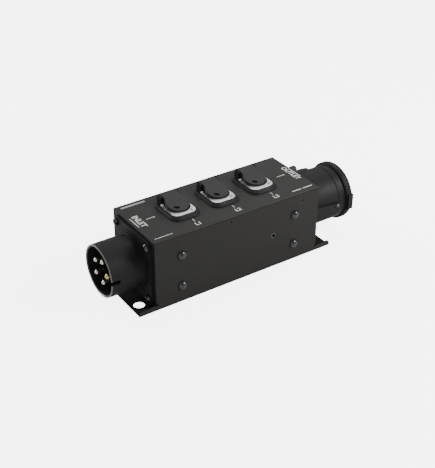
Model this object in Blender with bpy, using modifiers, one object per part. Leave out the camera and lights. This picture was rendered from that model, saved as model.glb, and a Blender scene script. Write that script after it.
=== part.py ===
"""Portable power distribution box: folded steel case, five-pole inlet, five-pole socket with a
hinged lid, and three capped single-phase outlets on the top.

Frame: metres, +Z up, +X from the inlet end to the socket end, -Y is the front wall.
The origin is the middle of the case's underside.
"""
import math

import bmesh
import bpy
from mathutils import Matrix, Vector

MM = 0.001
GAP = 0.3 * MM                      # clearance between pieces that touch

# Case
CASE_LENGTH = 201.5 * MM
CASE_WIDTH = 82.0 * MM
CASE_HEIGHT = 80.5 * MM
SHEET = 1.5 * MM
BEND = 1.5 * MM                     # outer radius of a fold
EAR_REACH = 19.5 * MM               # how far the floor runs past each end
LIP_HEIGHT = 6.5 * MM
LIP_ROUND = 3.0 * MM
RELIEF_RADIUS = 1.8 * MM            # bite where a wall's edge meets the lip
EAR_HOLE_RADIUS = 6.0 * MM
HALF_LENGTH = CASE_LENGTH / 2
HALF_WIDTH = CASE_WIDTH / 2
EAR_TIP = HALF_LENGTH + EAR_REACH
EAR_HOLE_X = HALF_LENGTH + 10.0 * MM
EAR_HOLE_Y = 22.5 * MM
COVER_SHEET = 1.7 * MM
WALL_TOP = CASE_HEIGHT - COVER_SHEET - GAP
PANEL_HALF = HALF_WIDTH - SHEET - GAP  # end panels fit between the walls
FLANGE_REACH = 40.0 * MM            # flanges folded in behind the walls
FLANGE_BOTTOM = 8.0 * MM
FLANGE_TOP = 76.0 * MM

# Wall screws
WALL_SCREW_X = 70.0 * MM
WALL_SCREW_Z = (20.0 * MM, 56.0 * MM)
WALL_SCREW_HEAD = 4.8 * MM
WALL_SCREW_RISE = 3.2 * MM
WALL_SCREW_SHANK = 1.9 * MM
WALL_SCREW_LENGTH = 9.0 * MM
WALL_SCREW_HOLE = 2.3 * MM
PILOT_HOLES = ((-10.6 * MM, 74.0 * MM), (80.0 * MM, 70.0 * MM))
PILOT_RADIUS = 0.9 * MM

# Earth bolt, sunk in a hole in the front wall
EARTH_X = 43.3 * MM
EARTH_Z = 39.0 * MM
EARTH_HOLE = 4.0 * MM
EARTH_HEAD = 3.6 * MM
EARTH_SHANK = 2.0 * MM
EARTH_LUG = 4.2 * MM

# End connectors, in their own frame: heights are distances out from the end panel
CONNECTOR_Z = 40.8 * MM
FLANGE_HALF = 36.0 * MM
FLANGE_CORNER = 6.0 * MM
FLANGE_SEAT = GAP
FLANGE_FACE = 2.8 * MM
PANEL_HOLE = 28.0 * MM
CORNER_SCREW = 30.0 * MM
CORNER_HOLE = 1.9 * MM
CONTACT_CIRCLE = 12.6 * MM
CONTACTS = {"PE": 0, "N": 72, "L3": 144, "L2": 216, "L1": 288}   # degrees from the front, upward
PIN_RADIUS = 2.5 * MM
EARTH_PIN_RADIUS = 3.0 * MM
SKIRT_DEPTH = 20.0 * MM             # how far each housing reaches into the case
CONTACT_BACK = 24.0 * MM
SHROUD_OUTER = 28.2 * MM
SHROUD_INNER = 25.4 * MM
SHROUD_REACH = 41.2 * MM
KEYWAY_LENGTH = 11.0 * MM
KEYWAY_WIDTH = 4.6 * MM
INLET_FACE = 4.0 * MM
BARREL_OUTER = 30.0 * MM
BARREL_INNER = 28.6 * MM
BARREL_REACH = 40.0 * MM
SKIRT_OUTER = 27.3 * MM
CARRIER_RADIUS = 24.4 * MM
CARRIER_FACE = 32.0 * MM
LATCH_REACH = 32.4 * MM
LATCH_OUTLINE = ((2.0, 6.0), (2.0, -13.0), (39.0, -9.0), (39.0, 3.2), (30.0, 3.2))
LUG_ANGLE = 53                      # degrees from the back of the barrel, upward
LUG_OUT = 13.2 * MM
LUG_RISE = 35.0 * MM
LUG_RADIUS = 4.3 * MM
LUG_HALF = 2.5 * MM

# Socket lid and its hinge, whose pin stands upright at the back of the barrel
LID_BACK = BARREL_REACH + GAP
LID_STEP = 49.0 * MM
LID_FACE = 57.6 * MM
LID_RIM = 32.6 * MM
LID_INNER = 28.3 * MM
LID_FLOOR = 53.4 * MM
LID_PIN_Y = 34.6 * MM
LID_PIN_OUT = 40.6 * MM
LID_KNUCKLE = 3.3 * MM
LID_PIN_RADIUS = 1.3 * MM
LID_PIN_HOLE = 1.7 * MM

# Outlets: heights are above the cover's top face
OUTLETS = {"L1": -48.0 * MM, "L2": 0.0, "L3": 48.0 * MM}
WELL_Y = 2.2 * MM
WELL_RADIUS = 12.2 * MM
FRAME_HALF_X = 17.4 * MM
FRAME_FRONT = -20.2 * MM
FRAME_REAR = 24.4 * MM
FRAME_TAPER = 3.0 * MM
FRAME_ROUND_FRONT = 9.0 * MM
FRAME_ROUND_REAR = 6.0 * MM
FRAME_HEIGHT = 2.5 * MM
PLATE_LOW = FRAME_HEIGHT + GAP
PLATE_HIGH = 3.6 * MM
PLATE_HALF_X = 13.6 * MM
PLATE_FRONT = -15.8 * MM
PLATE_REAR = 14.2 * MM
PLATE_ROUND_FRONT = 6.5 * MM
PLATE_ROUND_REAR = 3.5 * MM
PLATE_SCREWS = ((-11.4 * MM, 11.4 * MM), (9.6 * MM, -11.6 * MM))
PLATE_SCREW_HOLE = 1.5 * MM
CAP_RADIUS = 12.1 * MM
CAP_DISC = 11.3 * MM
CAP_LOW = 2.6 * MM
DENT_PLACE = (-4.2 * MM, -4.4 * MM)
DENT_HALF = (3.4 * MM, 1.9 * MM, 1.6 * MM)
CAP_ARM_LOW = 4.2 * MM
CAP_FRONT_TOP = 5.0 * MM
HINGE_Y = 19.0 * MM
HINGE_Z = 8.2 * MM
KNUCKLE_RADIUS = 4.0 * MM
CHEEK_INNER = 9.6 * MM
CHEEK_OUTER = 11.4 * MM
CHEEK_RADIUS = 4.2 * MM
ARM_HALF = CHEEK_INNER - GAP
CAP_PIN_RADIUS = 0.8 * MM
CAP_PIN_HOLE = 1.1 * MM
CAP_SLOPE = (HINGE_Z + KNUCKLE_RADIUS - CAP_FRONT_TOP) / (HINGE_Y - WELL_Y + CAP_RADIUS)
CUP_OUTER = 11.6 * MM
CUP_INNER = 10.2 * MM
CUP_TOP = 2.3 * MM
CUP_FLOOR = -14.0 * MM
CUP_BOTTOM = -30.0 * MM
BLADE_TIP = -6.0 * MM
BLADE_TAIL = -33.5 * MM
BLADE_HALF = (0.7 * MM, 1.9 * MM)
BLADES = {"PE": (0.0, -5.2 * MM), "line": (-4.6 * MM, 3.0 * MM), "N": (4.6 * MM, 3.0 * MM)}

# Wires: each conductor runs the length of the case in its own lane
WIRE_RADIUS = 1.6 * MM
LEAD_RADIUS = 1.2 * MM
LANES = {"PE": (-24.0 * MM, 36.0 * MM), "N": (-9.0 * MM, 39.0 * MM), "L1": (0.0, 25.0 * MM),
         "L2": (12.0 * MM, 29.0 * MM), "L3": (20.0 * MM, 38.0 * MM)}     # y and z

ROUND = 36                          # sides of a large round piece
SMALL_ROUND = 12
UPRIGHT = Matrix(((0, 0, 1, 0), (1, 0, 0, 0), (0, 1, 0, 0), (0, 0, 0, 1)))  # outline in YZ, depth in X
SIDEWAYS = Matrix(((1, 0, 0, 0), (0, 0, -1, 0), (0, 1, 0, 0), (0, 0, 0, 1)))  # outline in XZ, depth in -Y
HERE = Matrix.Identity(4)


# ---------------------------------------------------------------- scene and materials

def clear_scene():
    for thing in list(bpy.data.objects):
        bpy.data.objects.remove(thing, do_unlink=True)


def new_collection(name):
    collection = bpy.data.collections.new(name)
    bpy.context.scene.collection.children.link(collection)
    return collection


def make_material(name, colour, roughness, metallic=0.0):
    material = bpy.data.materials.new(name)
    material.use_nodes = True
    shader = material.node_tree.nodes["Principled BSDF"]
    shader.inputs["Base Color"].default_value = (*colour, 1.0)
    shader.inputs["Roughness"].default_value = roughness
    shader.inputs["Metallic"].default_value = metallic
    return material


# ---------------------------------------------------------------- shapes

def add_piece(name, data, place, material):
    """A part if it has a material, otherwise a hidden operand for a Boolean."""
    piece = bpy.data.objects.new(name, data)
    piece.matrix_world = place
    if material is None:
        CUTTERS.objects.link(piece)
        piece.hide_render = True
        piece.display_type = "WIRE"
    else:
        PARTS.objects.link(piece)
        data.materials.append(material)
    return piece


def settled(piece, material):
    """The same piece as a welded mesh, shaded smooth up to its sharp edges."""
    bpy.context.view_layer.update()
    graph = bpy.context.evaluated_depsgraph_get()
    mesh = bpy.data.meshes.new_from_object(piece.evaluated_get(graph))
    mesh.materials.clear()
    bm = bmesh.new()
    bm.from_mesh(mesh)
    bmesh.ops.remove_doubles(bm, verts=bm.verts, dist=0.002 * MM)
    bmesh.ops.recalc_face_normals(bm, faces=bm.faces)
    bm.to_mesh(mesh)
    bm.free()
    mesh.shade_smooth()
    mesh.set_sharp_from_angle(angle=math.radians(35))
    name = piece.name
    place = piece.matrix_world.copy()
    bpy.data.objects.remove(piece)
    return add_piece(name, mesh, place, material)


def block(name, low, high, place=HERE, material=None, bevel=0.0):
    low = Vector(low)
    high = Vector(high)
    bm = bmesh.new()
    size = Matrix.Diagonal((*(high - low), 1.0))
    bmesh.ops.create_cube(bm, size=1.0, matrix=Matrix.Translation((low + high) / 2) @ size)
    mesh = bpy.data.meshes.new(name)
    bm.to_mesh(mesh)
    bm.free()
    piece = add_piece(name, mesh, place, material)
    if bevel:
        rounding = piece.modifiers.new("rounding", "BEVEL")
        rounding.width = bevel
        rounding.segments = 2
    return piece


def rod(name, start, end, radius, sides=SMALL_ROUND, place=HERE, material=None):
    start = Vector(start)
    end = Vector(end)
    turn = (end - start).to_track_quat("Z", "Y").to_matrix().to_4x4()
    bm = bmesh.new()
    bmesh.ops.create_cone(bm, cap_ends=True, segments=sides, radius1=radius, radius2=radius,
                          depth=(end - start).length)
    mesh = bpy.data.meshes.new(name)
    bm.to_mesh(mesh)
    bm.free()
    mesh.transform(Matrix.Translation((start + end) / 2) @ turn)
    mesh.shade_smooth()
    mesh.set_sharp_from_angle(angle=math.radians(35))
    return add_piece(name, mesh, place, material)


def turned(name, profile, place=HERE, material=None, sides=ROUND):
    """Spin (radius, height) points, top to bottom down the outside, about the local Z axis."""
    count = len(profile)
    edges = [(index, index + 1) for index in range(count - 1)]
    if profile[0][0] > 0:
        edges.append((count - 1, 0))
    mesh = bpy.data.meshes.new(name)
    mesh.from_pydata([(radius, 0.0, height) for radius, height in profile], edges, [])
    piece = add_piece(name, mesh, place, None)
    screw = piece.modifiers.new("turn", "SCREW")
    screw.steps = sides
    screw.render_steps = sides
    screw.use_merge_vertices = True
    screw.merge_threshold = 0.01 * MM
    return settled(piece, material)


def flat(name, outlines, low, high, place=HERE, material=None):
    """A plate from outlines in the local XY plane, the inner outlines being its holes."""
    curve = bpy.data.curves.new(name, "CURVE")
    curve.dimensions = "2D"
    curve.fill_mode = "BOTH"
    curve.extrude = (high - low) / 2
    for outline in outlines:
        add_spline(curve, [(x, y, 0.0) for x, y in outline], True)
    lift = Matrix.Translation((0, 0, (low + high) / 2))
    return settled(add_piece(name, curve, place @ lift, None), material)


def add_spline(curve, points, closed):
    spline = curve.splines.new("POLY")
    spline.points.add(len(points) - 1)
    for target, point in zip(spline.points, points):
        target.co = (*point, 1.0)
    spline.use_cyclic_u = closed


def tube(name, route, radius, material=None):
    curve = bpy.data.curves.new(name, "CURVE")
    curve.dimensions = "3D"
    curve.bevel_depth = radius
    curve.bevel_resolution = 2
    curve.use_fill_caps = True
    add_spline(curve, route, False)
    return settled(add_piece(name, curve, HERE, None), material)


def boolean(piece, operation, operands):
    for operand in operands:
        modifier = piece.modifiers.new(operation.lower(), "BOOLEAN")
        modifier.operation = operation
        modifier.solver = "EXACT"
        modifier.object = operand


def cut(piece, *cutters):
    boolean(piece, "DIFFERENCE", cutters)


def unite(piece, *additions):
    boolean(piece, "UNION", additions)


# ---------------------------------------------------------------- outlines and routes

def arc(centre, radius, start, end, steps):
    """Points on an arc in a plane, angles in degrees."""
    points = []
    for index in range(steps + 1):
        angle = math.radians(start + (end - start) * index / steps)
        points.append((centre[0] + radius * math.cos(angle), centre[1] + radius * math.sin(angle)))
    return points


def circle(centre, radius, sides):
    return arc(centre, radius, 0, 360, sides)[:-1]


def rounded_rectangle(low, high, front, rear, steps=3):
    """Rectangle whose two low corners have the front radius and whose two high ones the rear radius."""
    corners = ((high[0] - rear, high[1] - rear, rear), (low[0] + rear, high[1] - rear, rear),
               (low[0] + front, low[1] + front, front), (high[0] - front, low[1] + front, front))
    outline = []
    for quarter, (x, y, radius) in enumerate(corners):
        outline += arc((x, y), radius, 90 * quarter, 90 * quarter + 90, steps)
    return outline


def smooth_route(points, steps=2):
    """Catmull-Rom points through a route's own points, with a straight run at each end."""
    first, *middle, last = [Vector(point) for point in points]
    route = [first] + middle + [last]
    samples = [first]
    for a, b, c, d in zip(route, route[1:], route[2:], route[3:]):
        for index in range(steps):
            t = index / steps
            samples.append(0.5 * (2 * b + (c - a) * t + (2 * a - 5 * b + 4 * c - d) * t ** 2
                                  + (3 * b - a - 3 * c + d) * t ** 3))
    return samples + [route[-2], last]


def helix(centre, radius, length, turns, per_turn):
    """Points of a coil about an upright line through centre."""
    points = []
    for index in range(turns * per_turn + 1):
        angle = 2 * math.pi * index / per_turn
        travel = length * (index / (turns * per_turn) - 0.5)
        points.append(centre + Vector((radius * math.cos(angle), radius * math.sin(angle), travel)))
    return points


# ---------------------------------------------------------------- placing frames

def end_place(side):
    """Local Z points out of the end panel and local Y points up; side is -1 for the inlet end."""
    turn = Matrix(((0, side, 0), (0, 0, 1), (side, 0, 0))).transposed().to_4x4()
    return Matrix.Translation((side * HALF_LENGTH, 0, CONNECTOR_Z)) @ turn


def front_place(x, z):
    """Local Z points out of the front wall's outer face."""
    return Matrix.Translation((x, -HALF_WIDTH, z)) @ Matrix.Rotation(math.pi / 2, 4, "X")


def outlet_place(name):
    return Matrix.Translation((OUTLETS[name], 0, CASE_HEIGHT))


def lug_place():
    """For the hinge at the back: local X is world Y, local Y is out, local Z is down."""
    turn = Matrix(((0, 1, 0), (1, 0, 0), (0, 0, -1))).to_4x4()
    return Matrix.Translation((HALF_LENGTH, 0, CONNECTOR_Z)) @ turn


def latch_place():
    """For the front of the barrel: local X is out, local Y is up, local Z is towards the front."""
    turn = Matrix(((1, 0, 0), (0, 0, -1), (0, 1, 0))).to_4x4()
    return Matrix.Translation((HALF_LENGTH, 0, CONNECTOR_Z)) @ turn


def contact_centre(name, side):
    """A contact's centre in its end connector's frame; the earth contact faces the front."""
    angle = math.radians(CONTACTS[name])
    return -side * CONTACT_CIRCLE * math.cos(angle), CONTACT_CIRCLE * math.sin(angle)


def contact_radius(name):
    return EARTH_PIN_RADIUS if name == "PE" else PIN_RADIUS


def corner_places(side):
    for a in (-CORNER_SCREW, CORNER_SCREW):
        for b in (-CORNER_SCREW, CORNER_SCREW):
            yield a, b, end_place(side) @ Matrix.Translation((a, b, 0))


def hang_on_hinge(name, location, pieces):
    """Parent a moving body's pieces to an empty on its joint's axis."""
    pivot = bpy.data.objects.new(name, None)
    PARTS.objects.link(pivot)
    pivot.location = location
    bpy.context.view_layer.update()
    for piece in pieces:
        piece.parent = pivot
        piece.matrix_parent_inverse = pivot.matrix_world.inverted()


# ---------------------------------------------------------------- case

def make_base_tray(material):
    """A channel folded from one sheet, whose walls step down to lips along the ears."""
    wide = HALF_WIDTH
    inner = wide - SHEET
    bend = BEND
    outline = [(-wide, WALL_TOP)] + arc((-wide + bend, bend), bend, 180, 270, 3)
    outline += arc((wide - bend, bend), bend, 270, 360, 3)
    outline += [(wide, WALL_TOP), (inner, WALL_TOP), (inner, SHEET), (-inner, SHEET), (-inner, WALL_TOP)]
    tray = flat("base_tray", [outline], -EAR_TIP, EAR_TIP, UPRIGHT, material)
    deep = HALF_WIDTH + 5 * MM
    for side in (-1, 1):
        above = WALL_TOP + 5 * MM
        past = EAR_TIP + 5 * MM
        notch = [(HALF_LENGTH, above), (HALF_LENGTH, LIP_HEIGHT)]
        notch += arc((EAR_TIP - LIP_ROUND, LIP_HEIGHT - LIP_ROUND), LIP_ROUND, 90, 0, 3)
        notch += [(past, LIP_HEIGHT - LIP_ROUND), (past, above)]
        notch = [(side * x, z) for x, z in notch]
        cut(tray, flat("wall_notch", [notch], -deep, deep, SIDEWAYS))
        relief_z = LIP_HEIGHT + 0.7 * RELIEF_RADIUS
        cut(tray, rod("bend_relief", (side * HALF_LENGTH, -deep, relief_z),
                      (side * HALF_LENGTH, deep, relief_z), RELIEF_RADIUS))
        x, y = side * EAR_HOLE_X, side * EAR_HOLE_Y
        cut(tray, rod("ear_hole", (x, y, -SHEET), (x, y, 2 * SHEET), EAR_HOLE_RADIUS, 24))
    for x, z in wall_screw_points():
        cut(tray, rod("wall_screw_hole", (0, 0, -2 * SHEET), (0, 0, SHEET), WALL_SCREW_HOLE,
                      place=front_place(x, z)))
    for x, z in PILOT_HOLES:
        cut(tray, rod("pilot_hole", (0, 0, -2 * SHEET), (0, 0, SHEET), PILOT_RADIUS, 8,
                      place=front_place(x, z)))
    cut(tray, rod("earth_hole", (0, 0, -2 * SHEET), (0, 0, SHEET), EARTH_HOLE, 16,
                  place=front_place(EARTH_X, EARTH_Z)))


def wall_screw_points():
    return [(x, z) for x in (-WALL_SCREW_X, WALL_SCREW_X) for z in WALL_SCREW_Z]


def make_top_cover(material):
    """Top plate with end panels folded down, and flanges folded in behind the front and rear walls."""
    cover = block("top_cover", (-HALF_LENGTH, -HALF_WIDTH, CASE_HEIGHT - COVER_SHEET),
                  (HALF_LENGTH, HALF_WIDTH, CASE_HEIGHT), material=material)
    soften_top(cover)
    for side in (-1, 1):
        low, high = sorted((side * HALF_LENGTH, side * (HALF_LENGTH - SHEET)))
        unite(cover, block("end_panel", (low, -PANEL_HALF, SHEET + GAP),
                           (high, PANEL_HALF, CASE_HEIGHT - BEND)))
        low, high = sorted((side * (HALF_LENGTH - 0.5 * SHEET), side * (HALF_LENGTH - FLANGE_REACH)))
        for back in (-1, 1):
            near, far = sorted((back * PANEL_HALF, back * (PANEL_HALF - SHEET)))
            unite(cover, block("side_flange", (low, near, FLANGE_BOTTOM), (high, far, FLANGE_TOP)))
        cut(cover, rod("panel_hole", (0, 0, -3 * SHEET), (0, 0, SHEET), PANEL_HOLE, ROUND, end_place(side)))
        for _, _, place in corner_places(side):
            cut(cover, rod("corner_hole", (0, 0, -3 * SHEET), (0, 0, SHEET), CORNER_HOLE, 8, place))
    for x, z in wall_screw_points():
        depth = HALF_WIDTH - PANEL_HALF
        cut(cover, rod("wall_screw_hole", (0, 0, -depth - 2 * SHEET), (0, 0, -0.5 * depth),
                       WALL_SCREW_HOLE, place=front_place(x, z)))
    for name in OUTLETS:
        place = outlet_place(name)
        deep = -2 * COVER_SHEET
        cut(cover, rod("well", (0, WELL_Y, deep), (0, WELL_Y, SHEET), WELL_RADIUS, 32, place))
        for x, y in PLATE_SCREWS:
            cut(cover, rod("plate_screw_hole", (x, y, deep), (x, y, SHEET), PLATE_SCREW_HOLE, 8, place))


def soften_top(cover):
    """Round the top plate's upper edges, which are folds."""
    bm = bmesh.new()
    bm.from_mesh(cover.data)
    upper = [edge for edge in bm.edges if all(vert.co.z > CASE_HEIGHT - 0.1 * MM for vert in edge.verts)]
    bmesh.ops.bevel(bm, geom=upper, offset=BEND, segments=3, affect="EDGES", profile=0.5)
    bm.to_mesh(cover.data)
    bm.free()


def dome_screw(head, rise, shank, length):
    """Profile of a dome-headed screw; the head's underside is at height zero."""
    dome = [(0.0, rise), (0.45 * head, 0.9 * rise), (0.8 * head, 0.6 * rise), (head, 0.0)]
    return dome + [(shank, 0.0), (shank, -length), (0.0, -length)]


def make_wall_screws(material):
    profile = dome_screw(WALL_SCREW_HEAD, WALL_SCREW_RISE, WALL_SCREW_SHANK, WALL_SCREW_LENGTH)
    for number, (x, z) in enumerate(wall_screw_points(), 1):
        place = front_place(x, z) @ Matrix.Translation((0, 0, GAP))
        turned(f"wall_screw_{number}", profile, place, material, SMALL_ROUND)


def make_earth_bolt(material):
    """Countersunk machine screw, clamping the earth lead's ring behind the wall."""
    profile = [(0.0, -0.4 * MM), (EARTH_HEAD, -0.4 * MM), (EARTH_HEAD, -0.6 * MM), (EARTH_SHANK, -1.6 * MM),
               (EARTH_SHANK, -12 * MM), (0.0, -12 * MM)]
    turned("earth_bolt", profile, front_place(EARTH_X, EARTH_Z), material, 16)


# ---------------------------------------------------------------- end connectors

def flange_plate(side):
    low, high = (-FLANGE_HALF, -FLANGE_HALF), (FLANGE_HALF, FLANGE_HALF)
    outlines = [rounded_rectangle(low, high, FLANGE_CORNER, FLANGE_CORNER)]
    for a, b, _ in corner_places(side):
        outlines.append(circle((a, b), CORNER_HOLE, 8))
    return flat("flange_plate", outlines, FLANGE_SEAT, FLANGE_FACE, end_place(side))


def make_corner_screws(name, side, material):
    profile = dome_screw(4.2 * MM, 3.2 * MM, 1.5 * MM, 8.0 * MM)
    for number, (_, _, place) in enumerate(corner_places(side), 1):
        seat = place @ Matrix.Translation((0, 0, FLANGE_FACE + GAP))
        turned(f"{name}_screw_{number}", profile, seat, material, 8)


def make_inlet_housing(material):
    """Round shroud with a slot for the plug's key, on a square flange."""
    place = end_place(-1)
    collar = SHROUD_OUTER + 2.8 * MM
    outside = [(0.0, SHROUD_REACH), (SHROUD_OUTER - 1.2 * MM, SHROUD_REACH),
               (SHROUD_OUTER - 0.3 * MM, SHROUD_REACH - 0.4 * MM),
               (SHROUD_OUTER, SHROUD_REACH - 1.4 * MM), (SHROUD_OUTER, 6.0 * MM), (collar, 3.6 * MM),
               (collar, 1.4 * MM), (SKIRT_OUTER, 1.0 * MM), (SKIRT_OUTER, -SKIRT_DEPTH), (0.0, -SKIRT_DEPTH)]
    housing = turned("inlet_housing", outside, place, material)
    unite(housing, flange_plate(-1))
    past = SHROUD_REACH + MM
    bore = [(0.0, past), (SHROUD_INNER + 1.4 * MM, past), (SHROUD_INNER, SHROUD_REACH - 0.6 * MM),
            (SHROUD_INNER, -SKIRT_DEPTH - MM), (0.0, -SKIRT_DEPTH - MM)]
    cut(housing, turned("inlet_bore", bore, place))
    half = KEYWAY_WIDTH / 2
    cut(housing, block("keyway", (SHROUD_INNER - 3 * MM, -half, SHROUD_REACH - KEYWAY_LENGTH),
                       (SHROUD_OUTER + 3 * MM, half, past), place))


def make_carrier(name, side, radius, face, clearance, material):
    """Moulded block that holds the five contacts."""
    place = end_place(side)
    back = -SKIRT_DEPTH + 2 * MM
    profile = [(0.0, face), (radius - 0.8 * MM, face), (radius, face - 0.8 * MM), (radius, back), (0.0, back)]
    carrier = turned(name, profile, place, material)
    for contact in CONTACTS:
        a, b = contact_centre(contact, side)
        cut(carrier, rod("contact_hole", (a, b, back - MM), (a, b, face + MM),
                         contact_radius(contact) + clearance, SMALL_ROUND, place))


def make_inlet_pins(material, earth_material):
    tip = SHROUD_REACH - 0.9 * MM
    for contact in CONTACTS:
        radius = contact_radius(contact)
        profile = [(0.0, tip), (radius - 0.8 * MM, tip), (radius, tip - 1.2 * MM), (radius, -CONTACT_BACK),
                   (0.0, -CONTACT_BACK)]
        seat = end_place(-1) @ Matrix.Translation((*contact_centre(contact, -1), 0))
        turned("inlet_pin_" + contact, profile, seat, earth_material if contact == "PE" else material,
               SMALL_ROUND)


def make_socket_contacts(material):
    tip = CARRIER_FACE - 2.0 * MM
    floor = -CONTACT_BACK + 4 * MM
    for contact in CONTACTS:
        bore = contact_radius(contact) + 0.1 * MM
        outer = bore + 0.8 * MM
        profile = [(0.0, floor), (bore, floor), (bore, tip), (outer, tip), (outer, -CONTACT_BACK),
                   (0.0, -CONTACT_BACK)]
        seat = end_place(1) @ Matrix.Translation((*contact_centre(contact, 1), 0))
        turned("socket_contact_" + contact, profile, seat, material, SMALL_ROUND)


def make_socket_housing(material):
    """Barrel on a square flange, with hinge lugs at the back and the latch pad at the front."""
    place = end_place(1)
    collar = BARREL_OUTER + 2.2 * MM
    outside = [(0.0, BARREL_REACH), (BARREL_OUTER - 0.6 * MM, BARREL_REACH),
               (BARREL_OUTER, BARREL_REACH - 0.6 * MM), (BARREL_OUTER, 6.0 * MM), (collar, 3.8 * MM),
               (collar, 1.4 * MM), (SKIRT_OUTER, 1.0 * MM), (SKIRT_OUTER, -SKIRT_DEPTH), (0.0, -SKIRT_DEPTH)]
    housing = turned("socket_housing", outside, place, material)
    unite(housing, flange_plate(1))
    outline = [(c * MM, b * MM) for c, b in LATCH_OUTLINE]
    unite(housing, flat("latch_pad", [outline], 20 * MM, LATCH_REACH, latch_place()))
    unite(housing, stop_lug())
    foot = BARREL_OUTER - 4 * MM
    lug = [(foot, 31.0 * MM), (foot + 4 * MM, 31.0 * MM), (LID_PIN_Y + 2.2 * MM, 37.6 * MM)]
    lug += arc((LID_PIN_Y, LID_PIN_OUT), LID_KNUCKLE, -40, 180, 8)
    lug += [(LID_PIN_Y - LID_KNUCKLE, BARREL_REACH - 0.4 * MM), (foot, BARREL_REACH - 0.4 * MM)]
    for side in (-1, 1):
        low, high = sorted((side * 7.4 * MM, side * 10.4 * MM))
        unite(housing, flat("hinge_lug", [lug], low, high, lug_place()))
    skirt = CARRIER_RADIUS + GAP
    bore = [(0.0, BARREL_REACH + MM), (BARREL_INNER, BARREL_REACH + MM), (BARREL_INNER, FLANGE_FACE),
            (skirt, FLANGE_FACE), (skirt, -SKIRT_DEPTH - MM), (0.0, -SKIRT_DEPTH - MM)]
    cut(housing, turned("socket_bore", bore, place))
    cut(housing, lid_pin_rod("hinge_hole", 12 * MM, LID_PIN_HOLE))


def stop_lug():
    """Round lug with a low rib behind it, standing on the barrel's upper back."""
    angle = math.radians(LUG_ANGLE)
    turn = Matrix(((1, 0, 0), (0, math.cos(angle), math.sin(angle)), (0, -math.sin(angle), math.cos(angle))))
    place = Matrix.Translation((HALF_LENGTH, 0, CONNECTOR_Z)) @ turn.transposed().to_4x4()
    foot = BARREL_OUTER - MM
    outline = arc((LUG_OUT, LUG_RISE), LUG_RADIUS, 180, -30, 8)
    outline += [(21.0 * MM, 33.2 * MM), (30.0 * MM, 32.2 * MM), (33.0 * MM, foot), (LUG_OUT - LUG_RADIUS, foot)]
    return flat("stop_lug", [outline], -LUG_HALF, LUG_HALF, place)


def lid_pin_rod(name, reach, radius, material=None):
    x = HALF_LENGTH + LID_PIN_OUT
    return rod(name, (x, LID_PIN_Y, CONNECTOR_Z - reach), (x, LID_PIN_Y, CONNECTOR_Z + reach), radius,
               material=material)


def make_latch_screw(material):
    profile = [(0.0, 1.4 * MM), (1.2 * MM, 1.2 * MM), (2.0 * MM, 0.5 * MM), (2.0 * MM, 0.0), (0.0, 0.0)]
    seat = latch_place() @ Matrix.Translation((36.0 * MM, 0.4 * MM, LATCH_REACH + GAP))
    turned("latch_screw", profile, seat, material, SMALL_ROUND)


def make_socket_lid(material):
    place = end_place(1)
    profile = [(0.0, LID_FACE), (LID_RIM - 2.0 * MM, LID_FACE), (LID_RIM, LID_FACE - 1.6 * MM),
               (LID_RIM, LID_STEP + 0.6 * MM), (BARREL_OUTER, LID_STEP - 0.2 * MM),
               (BARREL_OUTER, LID_BACK + 0.5 * MM), (BARREL_OUTER - 0.5 * MM, LID_BACK),
               (LID_INNER, LID_BACK), (LID_INNER, LID_FLOOR), (0.0, LID_FLOOR)]
    lid = turned("socket_lid", profile, place, material)
    unite(lid, block("lid_tab", (-LID_RIM - 1.2 * MM, -9.0 * MM, LID_STEP + 1.6 * MM),
                     (-LID_RIM + 2.0 * MM, 9.0 * MM, LID_FACE - 0.9 * MM), place, bevel=1.0 * MM))
    foot = BARREL_OUTER - 0.8 * MM
    start = LID_BACK + 0.5 * MM
    knuckle = [(foot, start + 7.5 * MM), (foot, start), (LID_PIN_Y - LID_KNUCKLE, start)]
    knuckle += arc((LID_PIN_Y, LID_PIN_OUT), LID_KNUCKLE, 180, 400, 8) + [(foot + 3 * MM, start + 7.5 * MM)]
    for side in (-1, 1):
        low, high = sorted((side * 3.6 * MM, side * 7.1 * MM))
        unite(lid, flat("lid_knuckle", [knuckle], low, high, lug_place()))
    cut(lid, lid_pin_rod("hinge_hole", 9 * MM, LID_PIN_HOLE))
    return lid


def make_lid_gasket(material):
    inner = LID_INNER - 1.8 * MM
    outer = LID_INNER - GAP
    high = LID_BACK + 2.6 * MM
    profile = [(inner, high), (outer, high), (outer, LID_BACK), (inner, LID_BACK)]
    return turned("socket_lid_gasket", profile, end_place(1), material)


def make_lid_spring(material):
    centre = Vector((HALF_LENGTH + LID_PIN_OUT, LID_PIN_Y, CONNECTOR_Z))
    tube("socket_lid_spring", helix(centre, 2.3 * MM, 5.6 * MM, 4, 7), 0.35 * MM, material)


# ---------------------------------------------------------------- outlets

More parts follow.
